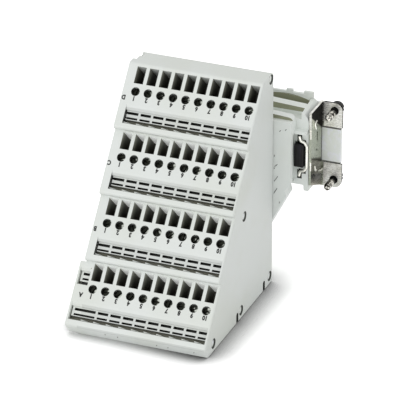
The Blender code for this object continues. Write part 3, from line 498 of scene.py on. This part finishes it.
def paintMarkers(look, colour, x, row, rise, depth):
    openings = x.inside(*housing["openings"])
    lowest = row < 0.5
    groove = rise.inside(*housing["marker"])
    pocket = x.inside(*housing["pocket"]) * depth.inside(housing["cut"], housing["pocketDeep"])
    pocket = pocket * (rise.size() < housing["pocketHalf"]) * lowest * (look.facing((-1, 0, 0)) < square)
    # painted shade in the marker groove, in its slit at the left and in the pocket beside the lowest row
    dark = look.mix(rise < housing["channelTop"], plastic["slot"], housing["channel"])
    dark = look.mix(x < housing["slitRight"], dark, housing["wall"])
    colour = look.mix((groove * (depth > housing["cut"]) * openings).larger(pocket), colour, dark)
    cell = (x - housing["firstSlot"]) / block["pitch"]
    along = (cell - cell.whole()).about(0.5, housing["slotShare"]) * (x > housing["firstSlot"])
    # painted shade in dark rims round the slots and along the channel's lip
    lips = slotLines(rise) * along.larger(x.inside(*housing["longSlot"]) * lowest)
    lips = lips.larger(slotLines(rise - housing["shortRise"]) * x.inside(*housing["shortSlot"]) * lowest)
    ends = openings.larger(lowest * x.inside(*housing["lipEnds"]))
    lips = lips.larger(rise.inside(*housing["channelLip"]) * ends)
    colour = look.mix(lips * depth.inside(*housing["floor"]), colour, plastic["slot"])
    # painted shade on the end wall at the left of each groove
    leftEnd = groove * x.inside(*housing["leftEnd"]) * (look.facing((1, 0, 0)) > square)
    colour = look.mix(leftEnd, colour, plastic["slot"])
    # painted shade where the face rolls down into the groove
    cove = openings * depth.inside(*housing["coveDepths"]) * rise.between(*housing["cove"])
    return look.shaded(colour, 1.0 - cove * housing["coveShade"])


def paintSides(look, colour, x, y, z):
    right, left = housing["sides"]
    side = (x > right).larger((x < left) * (z < housing["leftTop"])) * (z < housing["rightTop"])
    # painted shade in the ring round each pin
    for pinDepth, pinHeight in pinPlaces:
        depth, height = y - (block["front"] + pinDepth), z - pinHeight
        ring = (depth * depth + height * height).inside(*housing["ring"])
        colour = look.mix(side * ring, colour, housing["recess"])
    # painted shade in the notches at the foot of the right wall
    foot = (x > housing["notchSide"]) * (z < housing["notchTop"]) * (look.facing((1, 0, 0)) < square)
    for notchDepth in notchPlaces:
        colour = look.mix(foot * y.about(notchDepth, housing["notchHalf"]), colour, plastic["slot"])
    return colour


def paintHousing():
    look = Look("housingPlastic")
    place = look.place()
    x, y, z = look.split(place)
    colour, roughness, fine = plasticGround(look, place)
    row, rise, depth = slopePlace(y, z)
    colour, paintedGlow = paintFunnels(look, colour, x, row, rise, depth)
    colour = paintWells(look, colour, x, rise, depth)
    colour = paintMarkers(look, colour, x, row, rise, depth)
    colour = paintSides(look, colour, x, y, z)
    # the painted light takes the roofs' bright colour
    paintedGlow = look.mix(paintedGlow, tint(0, 0, 0), housing["bright"])
    glowStrength = {"Emission Color": paintedGlow, "Emission Strength": housing["glowStrength"]}
    return plasticFinish(look, colour, roughness, fine, **glowStrength)


hood = {
    "groove": tint(146, 148, 124),  # shaded walls and floors of the grooves
    # painted light that lifts the hood's plastic out of the housing's shadow
    "lift": 1.12,
    "half": 31.85,                  # half width of the grooves, in millimetres, as all that follows
    "rear": 49.45,                  # depths of the walls that face the front
    "front": 42.95,
    "ledge": 35.55,
    "pocket": 39.4,
    "reach": 0.3,
    "rearTop": 72.5,                # the rear wall's top falls to the sides
    "crown": (17.0, 21.9, 0.0185),
    "frontTop": 68.95,
    "floorTop": 70.6,
    "floors": (45.9, 49.5),
    "ledgeHalf": 29.92,
    "ledgeTop": 65.5,
    "hookLevel": 52.0,              # middle height of the painted shade that the spring's two hooks leave on the pocket's wall
    "hookPost": (31.2, 0.95),       # across from the middle, and half width
    "hookPostEnds": (5.6, 9.3),     # up and down from the level
    "hookBar": (6.1, 0.95),
    "hookBarEnds": (30.9, 33.8),
}


def paintHood():
    look = Look("hoodPlastic")
    place = look.place()
    x, y, z = look.split(place)
    colour, roughness, fine = plasticGround(look, place)
    side = (x - connector["across"]).size()
    backs = look.facing((0, -1, 0)) > square
    wide = side < hood["half"]
    start, middle, fall = hood["crown"]
    bow = side.larger(start) - middle
    rear = wide * y.about(hood["rear"], hood["reach"]) * (z < hood["rearTop"] - bow * bow * fall)
    front = wide * y.about(hood["front"], hood["reach"]) * (z > hood["frontTop"])
    ledge = (side < hood["ledgeHalf"]) * y.about(hood["ledge"], hood["reach"]) * (z > hood["ledgeTop"])
    floors = (look.facing((0, 0, 1)) > square) * wide * y.inside(*hood["floors"]) * (z < hood["floorTop"])
    # painted shade in the grooves; elsewhere the plastic is painted lighter
    sunk = (backs * rear.larger(front).larger(ledge)).larger(floors)
    colour = look.mix(sunk, look.shaded(colour, hood["lift"]), hood["groove"])
    # painted shade on the pocket's wall behind the spring's hooks
    level = (z - hood["hookLevel"]).size()
    hooks = side.about(*hood["hookPost"]) * level.inside(*hood["hookPostEnds"])
    hooks = hooks.larger(level.about(*hood["hookBar"]) * side.inside(*hood["hookBarEnds"]))
    colour = look.mix(hooks * backs * y.about(hood["pocket"], hood["reach"]), colour, plastic["slot"])
    return plasticFinish(look, colour, roughness, fine)


insert = {
    "mottle": tint(226, 228, 234),
    "mottleScale": (0.5, 0.5, 0.35),
    "mottleFrom": (0.45, 0.7),
    "mottleShare": 0.8,
    "detail": 3.0,
    "lift": 1.15,
    "relief": 0.01,
    "gap": tint(96, 96, 90),        # painted shade in the gap where the tongue meets an ear
    "gapHeights": (6.9, 7.6),       # up and down from the middle, in millimetres
    "gapLeft": 38.3,
    "gapBack": 52.0,
}


def paintInsert():
    look = Look("insertPlastic")
    place = look.place()
    x, y, z = look.split(place)
    colour, roughness, fine = plasticGround(look, place)
    mottled = look.speckle(look.stretched(place, insert["mottleScale"]), 1.0, insert["detail"])
    mottled = mottled.between(*insert["mottleFrom"]) * insert["mottleShare"]
    colour = look.shaded(look.mix(mottled, colour, insert["mottle"]), insert["lift"])
    # painted shade along the gaps at the ears
    gap = (z - connector["height"]).size().inside(*insert["gapHeights"])
    gap = gap * (x > insert["gapLeft"]) * (y < insert["gapBack"])
    colour = look.mix(gap, colour, insert["gap"])
    return plasticFinish(look, colour, roughness, fine, insert["relief"])


black = {
    "colour": tint(12, 12, 11),
    "sheen": tint(34, 30, 40),
    "lines": (1.6, 1.6, 0.08),
    "linesFrom": (0.45, 0.75),
    "grain": 4.0,
    "roughness": (0.5, 0.1),
    "relief": 0.01,
    "bending": 1.36,
}


def paintBlack():
    look = Look("satinBlack")
    place = look.place()
    # stripes of painted sheen on the black
    lines = look.speckle(look.stretched(place, black["lines"]), 1.0)
    fine = look.speckle(place, black["grain"])
    colour = look.mix(lines.between(*black["linesFrom"]), black["colour"], black["sheen"])
    roughness = black["roughness"][0] + fine * black["roughness"][1]
    return look.finish(colour, roughness, fine, black["relief"], IOR=black["bending"])


brushing = {
    "cloud": 0.22,
    "from": (0.4, 0.85),
    "shares": (0.6, 0.6),
    "detail": 4.0,
    "rougher": 0.14,
    "relief": 0.006,
}
wire = {
    "bright": tint(238, 238, 232),
    "dull": tint(210, 208, 198),
    "roughness": 0.2,
    "stretch": (5.0, 5.0, 0.5),
}
contact = {
    "bright": tint(222, 206, 160),
    "dull": tint(190, 172, 124),
    "roughness": 0.24,
    "stretch": (1.0, 6.0, 1.0),
}


def paintMetal(name, metal):
    look = Look(name)
    place = look.place()
    brushed = look.speckle(look.stretched(place, metal["stretch"]), 1.0, brushing["detail"])
    cloud = look.speckle(place, brushing["cloud"])
    blotches = (brushed * brushing["shares"][0] + cloud * brushing["shares"][1]).between(*brushing["from"])
    colour = look.mix(blotches, metal["bright"], metal["dull"])
    roughness = metal["roughness"] + brushed * brushing["rougher"]
    return look.finish(colour, roughness, brushed, brushing["relief"], Metallic=1.0)


steel = {"grain": 7.0, "rougher": 0.16, "relief": 0.008}
# the clamp screws' steel is painted dark for the shade of their wells, with a painted glint
clamp = {
    "dark": tint(40, 42, 37),
    "glint": tint(186, 190, 182),
    "cloud": 0.55,
    "detail": 1.5,
    "slant": 0.8,
    "glintFrom": (0.58, 0.74),
    "roughness": 0.3,
}
fixing = {
    "bright": tint(232, 230, 221),
    "dark": tint(52, 49, 42),
    "cloud": 1.3,
    "darkFrom": (0.43, 0.56),
    "hole": (47.2, 49.8),           # depths between which the shank is painted dark with the shade of its hole, in millimetres
    "head": 52.2,
    "roughness": (0.2, 0.4),        # of the steel, and what the head adds
}


def paintClampScrew():              # steel painted dark for the shade of its well, with a painted glint on its right side
    look = Look("clampSteel")
    place = look.place()
    turns = look.split(place)[0] / block["pitch"]
    along = turns - turns.whole() - 0.5
    fine = look.speckle(place, steel["grain"])
    cloud = look.speckle(place, clamp["cloud"], clamp["detail"])
    # painted glint, stronger towards the right of each screw
    glint = (cloud + along * clamp["slant"]).between(*clamp["glintFrom"])
    shade = look.mix(glint, clamp["dark"], clamp["glint"])
    roughness = clamp["roughness"] + fine * steel["rougher"]
    return look.finish(shade, roughness, fine, steel["relief"], Metallic=1.0)


def paintFixingScrew():             # painted glints in bright patches, a shank painted dark in the shade of its hole and a black head
    look = Look("fixingSteel")
    place = look.place()
    depth = look.split(place)[1]
    fine = look.speckle(place, steel["grain"])
    # blotches of painted glint and shade on the steel
    blotches = look.speckle(place, fixing["cloud"]).between(*fixing["darkFrom"])
    shade = look.mix(blotches, fixing["bright"], fixing["dark"])
    shade = look.mix(depth.between(*fixing["hole"]), shade, black["colour"])
    head = depth > fixing["head"]
    roughness = fixing["roughness"][0] + fine * steel["rougher"] + head * fixing["roughness"][1]
    return look.finish(shade, roughness, fine, steel["relief"], Metallic=1.0 - head)


bracket = {
    "bright": tint(242, 241, 236),
    "dull": tint(196, 194, 184),
    "side": tint(186, 190, 176),    # painted reflection of a dark room on the side walls
    "dark": tint(24, 23, 20),
    "band": tint(92, 92, 80),
    "foot": tint(150, 144, 124),
    "stretch": (0.6, 0.6, 5.0),
    "cloud": 0.45,
    "detail": 2.5,
    "shares": (0.4, 0.8),
    "dullFrom": (0.5, 0.85),
    "sideShade": (0.82, 0.36),
    "roughness": 0.2,
    "cornerRougher": 0.5,
    "earDull": 0.45,
    "wallFront": 38.0,              # from here on in millimetres: depth at which the heights below are taken
    "bandTop": (52.9, 51.9),
    "bandSlope": 0.385,
    "footTop": 45.6,
    "footFade": (38.5, 45.5),
    "footSlope": 0.5,
    "corner": (69.0, 70.2),
    "cornerSlope": 0.78,
    "bend": 50.1,
    "tongue": (45.8, 61.2),
    "ear": (36.6, 50.9),            # across from the middle, and depth
    "lipTop": 62.0,
}


def paintBracket():
    look = Look("bracketSheet")
    place = look.place()
    x, y, z = look.split(place)
    brushed = look.speckle(look.stretched(place, bracket["stretch"]), 1.0, brushing["detail"])
    cloud = look.speckle(place, bracket["cloud"], bracket["detail"])
    blotches = (brushed * bracket["shares"][0] + cloud * bracket["shares"][1]).between(*bracket["dullFrom"])
    wall = look.facing((1, 0, 0)).size() > square
    front = look.facing((0, 1, 0)).size() > square
    # painted reflection and shade on the side walls: a dark top corner, a darker band, a shaded foot and a
    # dark region behind the bend
    beyond = y - bracket["wallFront"]
    raked = z + beyond * bracket["bandSlope"]
    corner = (z + beyond * bracket["cornerSlope"]).between(*bracket["corner"])
    foot = (z + beyond * bracket["footSlope"]).between(*bracket["footFade"])
    side = look.mix(raked.between(*bracket["bandTop"]), bracket["side"], bracket["band"])
    side = look.mix(raked < bracket["footTop"], side, look.mix(foot, bracket["foot"], bracket["dark"]))
    side = look.mix(corner, side, bracket["dark"])
    side = look.mix((y > bracket["bend"]) * z.inside(*bracket["tongue"]), side, bracket["dark"])
    side = look.shaded(side, bracket["sideShade"][0] + cloud * bracket["sideShade"][1])
    # painted shade on the ears' edges, and the lip painted in the side walls' reflected tone
    ear = ((x - connector["across"]).size() > bracket["ear"][0]) * (y > bracket["ear"][1])
    lip = (1.0 - ear) * front * (z < bracket["lipTop"])
    colour = look.mix(wall, look.mix(blotches, bracket["bright"], bracket["dull"]), side)
    colour = look.mix(lip, colour, bracket["side"])
    colour = look.mix(ear * (1.0 - front), colour, bracket["dark"])
    roughness = bracket["roughness"] + brushed * brushing["rougher"] + corner * wall * bracket["cornerRougher"]
    metal = 1.0 - ear * front * bracket["earDull"]
    return look.finish(colour, roughness, brushed, brushing["relief"], Metallic=metal)


housingPlastic = paintHousing()
insertPlastic = paintInsert()
wireMetal = paintMetal("springWire", wire)
fixingSteel = paintFixingScrew()
paint(housingPlastic, "terminal_housing")
paint(paintCover(), "rear_cover")
paint(paintHood(), "connector_hood")
paint(insertPlastic, "contact_insert")
paint(paintBlack(), "locking_block_left", "locking_block_right")
paint(paintBracket(), "flange_bracket_left", "flange_bracket_right")
paint(wireMetal, "locking_spring_left", "locking_spring_right")
paint(paintClampScrew(), *[name for name in nodes if name.startswith("clamp_screw")])
paint(fixingSteel, *[name for name in nodes if name.startswith("fixing_screw")])
print("finishes on the solids")

# Printed numbers and row letters

lettering = {
    "height": 1.92,                 # millimetres
    "capital": 0.73,                # height of a capital in the font's own units
    "narrow": 0.84,
    "curves": 3,
    "rise": -2.84,                  # below the screw, down the sloping face
    "letterX": -27.0,
    "thick": 0.03,
    "weight": 0.055,                # extra stroke, as a share of the letter size
    "ink": tint(14, 15, 13),
    "shade": (0.85, 0.3),
    "roughness": (0.6, 0.1),
    "grain": 6.0,
}


def paintInk():
    look = Look("printInk")
    fine = look.speckle(look.place(), lettering["grain"])
    colour = look.shaded(lettering["ink"], lettering["shade"][0] + fine * lettering["shade"][1])
    return look.finish(colour, lettering["roughness"][0] + fine * lettering["roughness"][1])


def wordMesh(word):                 # a word about its own middle, in metres
    height = lettering["height"] * mm
    text = bpy.data.curves.new(word, "FONT")
    text.body = word
    text.extrude = lettering["thick"] * mm / 2 / (height / lettering["capital"])
    text.offset = lettering["weight"]
    text.resolution_u = lettering["curves"]
    holder = bpy.data.objects.new(word, text)
    scene.collection.objects.link(holder)
    mesh = bpy.data.meshes.new_from_object(holder.evaluated_get(bpy.context.evaluated_depsgraph_get()))
    bpy.data.objects.remove(holder)
    spread = [vertex.co for vertex in mesh.vertices]
    left, right = min(p.x for p in spread), max(p.x for p in spread)
    low, high = min(p.y for p in spread), max(p.y for p in spread)
    size = height / (high - low)
    middle = Vector(((left + right) / 2, (low + high) / 2, 0))
    mesh.transform(Matrix.Diagonal((size * lettering["narrow"], size, size, 1)) @ Matrix.Translation(-middle))
    return mesh


def upsideDown(point):              # flat on the sloping face, head down
    turned = Matrix((Vector((-1, 0, 0)), -upFace, outFace)).transposed().to_4x4()
    return Matrix.Translation(point) @ turned


def joined(name, meshes):
    bm = bmesh.new()
    for mesh in meshes:
        bm.from_mesh(mesh)
    whole = bpy.data.meshes.new(name)
    bm.to_mesh(whole)
    bm.free()
    return whole


def makeLettering():
    marks = []
    middle = (block["positions"] - 1) / 2
    for row, letter in enumerate(block["rows"]):
        signs = [(lettering["letterX"], letter)]
        for position in range(block["positions"]):
            signs.append(((position - middle) * block["pitch"], str(position + 1)))
        for x, word in signs:
            mesh = wordMesh(word)
            mesh.transform(upsideDown(facePoint(row, x, lettering["rise"], lettering["thick"] / 2)))
            marks.append(mesh)
    return meshThing("rowLettering", joined("rowLettering", marks), paintInk())


keep(makeLettering(), "body")
print("numbers and letters printed")

# Small wedges along the lip of each marker channel

wedge = {                           # millimetres
    "length": 3.2,
    "height": 0.45,
    "thick": 0.5,
    "left": -24.9,
    "rise": -12.32,
    "out": -1.5,
}
wedges = {
    "Columns": block["positions"],
    "Rows": len(block["rows"]),
    "Pitch": block["pitch"] * mm,
    "Row step": Vector((0, *block["rowStep"])) * mm,
    "Start": facePoint(0, wedge["left"], wedge["rise"], wedge["out"]),
}


def wedgeMesh():                    # a thin triangle that lies parallel to the sloping face
    across = Vector((wedge["length"], 0, 0)) * mm
    up = upFace * wedge["height"] * mm
    out = outFace * wedge["thick"] * mm
    flat = [Vector(), across, up]
    mesh = bpy.data.meshes.new("wedge")
    faces = [(0, 2, 1), (3, 4, 5), (0, 1, 4, 3), (1, 2, 5, 4), (2, 0, 3, 5)]
    mesh.from_pydata([tuple(p) for p in flat + [p + out for p in flat]], [], faces)
    return mesh


def gridPoints(tree, stepAcross, stepUp):  # rows of points, from a tree's Columns, Rows and Start
    line = {"Count": tree.given("Columns"), "Start Location": tree.given("Start"), "Offset": stepAcross}
    oneRow = tree.add("GeometryNodeMeshLine", line)
    rows = tree.add("GeometryNodeMeshLine", {"Count": tree.given("Rows"), "Offset": stepUp})
    grid = tree.add("GeometryNodeInstanceOnPoints", {"Points": rows, "Instance": oneRow})
    return tree.add("GeometryNodeRealizeInstances", {0: grid})


def wedgeTree():
    tree = Growth("channelWedges", {
        "Columns": "Int", "Rows": "Int", "Pitch": "Float", "Row step": "Vector", "Start": "Vector",
    })
    across = tree.add("ShaderNodeCombineXYZ", {0: tree.given("Pitch")})
    spread = {"Points": gridPoints(tree, across, tree.given("Row step")), "Instance": tree.given("Geometry")}
    return tree.close(tree.add("GeometryNodeInstanceOnPoints", spread))


channelWedges = grow("channelWedges", wedgeTree(), {**wedges, "Finish": housingPlastic}, wedgeMesh())
keep(channelWedges, "body")
print("channel wedges grown")

# Pins that close the housing's side walls

pins = {"Radius": 1.36 * mm, "Proud": 0.1 * mm, "Taper": 0.8, "Sides": 24}
pinSeat = 0.5                       # how far in from a wall a pin stands, in millimetres


def pinTree():
    tree = Growth("sidePins", {"Radius": "Float", "Proud": "Float", "Taper": "Float", "Sides": "Int"})
    shape = {"Vertices": tree.given("Sides"), "Radius Top": tree.given("Radius") * tree.given("Taper")}
    shape["Radius Bottom"] = tree.given("Radius")
    shape["Depth"] = tree.given("Proud")
    pin = tree.add("GeometryNodeMeshCone", shape)
    side = tree.add("ShaderNodeSeparateXYZ", {0: tree.add("GeometryNodeInputPosition")})
    turn = tree.add("ShaderNodeCombineXYZ", {1: tree.maths("SIGN", side) * (pi / 2)})
    spread = {"Points": tree.given("Geometry"), "Instance": pin, "Rotation": turn}
    return tree.close(tree.add("GeometryNodeInstanceOnPoints", spread))


def pinPoints():
    points = []
    for wall, inward in ((block["rightWall"], -1), (block["leftWall"], 1)):
        for depth, height in pinPlaces:
            points.append(tuple(Vector((wall + inward * pinSeat, block["front"] + depth, height)) * mm))
    mesh = bpy.data.meshes.new("pinPoints")
    mesh.from_pydata(points, [], [])
    return mesh


keep(grow("sidePins", pinTree(), {**pins, "Finish": insertPlastic}, pinPoints()), "body")
print("side pins seated")

# Threads of the fixing screws

thread = {"Radius": 1.16 * mm, "Length": 7.0 * mm, "Pitch": 0.8 * mm, "Crest": 0.26 * mm, "Steps": 18}
threadStart = 0.9 * mm              # from the screw's tip


def threadTree():
    tree = Growth("screwThread", {
        "Radius": "Float", "Length": "Float", "Pitch": "Float", "Crest": "Float", "Steps": "Int",
        "Tip": "Vector",
    })
    turns = tree.given("Length") / tree.given("Pitch")
    coil = {"Resolution": tree.given("Steps"), "Rotations": turns, "Height": tree.given("Length")}
    coil["Start Radius"] = tree.given("Radius")
    coil["End Radius"] = tree.given("Radius")
    path = tree.add("GeometryNodeCurveSpiral", coil)
    crest = tree.add("GeometryNodeCurvePrimitiveCircle", {"Resolution": 3, "Radius": tree.given("Crest")})
    ridge = tree.add("GeometryNodeCurveToMesh", {"Curve": path, "Profile Curve": crest, "Fill Caps": True})
    placed = {"Geometry": ridge, "Translation": tree.given("Tip"), "Rotation": (-pi / 2, 0, 0)}
    return tree.close(tree.add("GeometryNodeTransform", placed))


def makeThreads():
    tree = threadTree()
    for name in sorted(nodes):
        if not name.startswith("fixing_screw"):
            continue
        low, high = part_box(name)
        tip = Vector(((low.x + high.x) / 2, low.y + threadStart, (low.z + high.z) / 2))
        ridge = grow(name + "_thread", tree, {**thread, "Tip": tip, "Finish": fixingSteel})
        keep(ridge, name)


makeThreads()
print("threads cut")

# Bent wires: the locking springs, the clips on the bracket walls and the small mould marks

def wireTree():
    tree = Growth("bentWire", {"Radius": "Float", "Bend": "Float", "Sides": "Int", "Steps": "Int"})
    path = tree.add("GeometryNodeMeshToCurve", {0: tree.given("Geometry")})
    bend = {"Curve": path, "Radius": tree.given("Bend"), "Count": tree.given("Steps"), "Limit Radius": True}
    smooth = tree.add("GeometryNodeFilletCurve", bend, {"mode": "POLY"})
    ring = {"Resolution": tree.given("Sides"), "Radius": tree.given("Radius")}
    profile = tree.add("GeometryNodeCurvePrimitiveCircle", ring)
    tube = {"Curve": smooth, "Profile Curve": profile, "Fill Caps": True}
    return tree.close(tree.add("GeometryNodeCurveToMesh", tube))


def pathMesh(name, paths):          # open lines through points given in millimetres
    points, edges = [], []
    for path in paths:
        edges += [(len(points) + i, len(points) + i + 1) for i in range(len(path) - 1)]
        points += [tuple(Vector(p) * mm) for p in path]
    mesh = bpy.data.meshes.new(name)
    mesh.from_pydata(points, edges, [])
    return mesh


def bothSides(paths):               # the same lines on the left, mirrored about the connector
    return paths + [[(2 * connector["across"] - x, y, z) for x, y, z in path] for path in paths]


spring = {"Radius": 0.56 * mm, "Bend": 1.1 * mm, "Sides": 16, "Steps": 6}
springRoute = {                     # millimetres
    "half": [(34.5, 60.9), (34.95, 58.95), (36.55, 58.5), (37.5, 57.0)],  # across and height
    "middle": 52.6,
    "depth": 38.3,
}


def makeSprings(tree):
    half = [(x, springRoute["depth"], z) for x, z in springRoute["half"]]
    lower = [(x, y, 2 * springRoute["middle"] - z) for x, y, z in reversed(half)]
    right, left = bothSides([half + lower])
    for side, path in (("right", right), ("left", left)):
        name = "locking_spring_" + side
        bent = grow(name + "_wire", tree, {**spring, "Finish": wireMetal}, pathMesh(name, [path]))
        keep(bent, "body")
        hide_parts(name)


clips = {"Radius": 0.34 * mm, "Bend": 0.5 * mm, "Sides": 10, "Steps": 3}
clipPaths = [
    [(39.3, 44.3, 65.6), (39.35, 42.0, 65.3), (39.35, 43.3, 62.6)],
    [(38.9, 38.75, 63.4), (38.9, 38.75, 60.2)],
    [(38.9, 38.75, 50.4), (38.9, 38.75, 46.9)],
    [(39.3, 42.4, 47.6), (39.3, 43.0, 45.2), (39.3, 44.4, 44.9)],
    [(39.4, 46.6, 43.6), (39.4, 48.6, 42.8), (39.5, 50.4, 42.6)],
]
marks = {"Radius": 0.15 * mm, "Bend": 0.1 * mm, "Sides": 6, "Steps": 2}
# raised mould marks, painted dark grey for the shade they cast
markShade = {"colour": tint(112, 115, 110), "grain": 3.0, "shade": (0.8, 0.4), "roughness": (0.6, 0.1)}
plateFront = 33.33                  # millimetres
plateMarks = [                      # across and height on the front of the hood
    [(28.85, 64.5), (28.35, 63.95)],
    [(31.1, 65.35), (30.65, 64.75)],
    [(26.5, 53.85), (26.35, 53.15)],
    [(27.65, 50.05), (26.55, 49.0)],
    [(26.4, 48.4), (26.4, 48.0)],
    [(27.85, 45.1), (26.45, 42.75)],
    [(27.6, 40.0), (26.3, 37.6)],
    [(28.6, 34.45), (28.6, 33.8)],
]
footMarks = [
    (-14.7, -35.0, 2.5),
    (-9.7, -34.94, 2.4),
    (5.9, -34.5, 1.83),
    (10.4, -34.5, 1.83),
    (20.8, -34.5, 1.83),
]
footStroke = Vector((0.28, -0.5, 0.63))


def makeClips(tree):
    seed = pathMesh("bracketClips", bothSides(clipPaths))
    keep(grow("bracketClips", tree, {**clips, "Finish": wireMetal}, seed), "body")


def makeMarks(tree):
    paths = [[(x, plateFront, z) for x, z in path] for path in plateMarks]
    paths += [[Vector(p), Vector(p) + footStroke] for p in footMarks]
    look = Look("mouldMark")
    fine = look.speckle(look.place(), markShade["grain"])
    colour = look.shaded(markShade["colour"], markShade["shade"][0] + fine * markShade["shade"][1])
    dull = look.finish(colour, markShade["roughness"][0] + fine * markShade["roughness"][1])
    seed = pathMesh("mouldMarks", paths)
    keep(grow("mouldMarks", tree, {**marks, "Finish": dull}, seed), "body")


bentWire = wireTree()
makeSprings(bentWire)
makeClips(bentWire)
makeMarks(bentWire)
print("wires bent")

# Contact sockets in the mating block

socketGrid = {"columns": 10, "rows": 4, "across": 5.4, "up": 4.6, "depth": 61.2}  # millimetres
sockets = {
    "Columns": socketGrid["columns"],
    "Rows": socketGrid["rows"],
    "Step across": Vector((socketGrid["across"], 0, 0)) * mm,
    "Step up": Vector((0, 0, socketGrid["up"])) * mm,
    "Start": Vector((
        connector["across"] - socketGrid["across"] * (socketGrid["columns"] - 1) / 2,
        socketGrid["depth"],
        connector["height"] - socketGrid["up"] * (socketGrid["rows"] - 1) / 2,
    )) * mm,
    "Radius": 0.72 * mm,
    "Wall": 0.22 * mm,
    "Length": 4.4 * mm,
    "Sides": 14,
}


def socketTree():
    tree = Growth("contactSockets", {
        "Columns": "Int", "Rows": "Int", "Step across": "Vector", "Step up": "Vector", "Start": "Vector",
        "Radius": "Float", "Wall": "Float", "Length": "Float", "Sides": "Int",
    })
    points = gridPoints(tree, tree.given("Step across"), tree.given("Step up"))
    size = {"Resolution": tree.given("Sides"), "Radius": tree.given("Radius")}
    ring = tree.add("GeometryNodeCurvePrimitiveCircle", size)
    section = {"Width": tree.given("Wall"), "Height": tree.given("Length")}
    wall = tree.add("GeometryNodeCurvePrimitiveQuadrilateral", section)
    tube = tree.add("GeometryNodeCurveToMesh", {"Curve": ring, "Profile Curve": wall})
    spread = {"Points": points, "Instance": tube, "Rotation": (pi / 2, 0, 0)}
    return tree.close(tree.add("GeometryNodeInstanceOnPoints", spread))


contactMetal = paintMetal("contactPlating", contact)
keep(grow("contactSockets", socketTree(), {**sockets, "Finish": contactMetal}), "body")
print("contact sockets fitted")
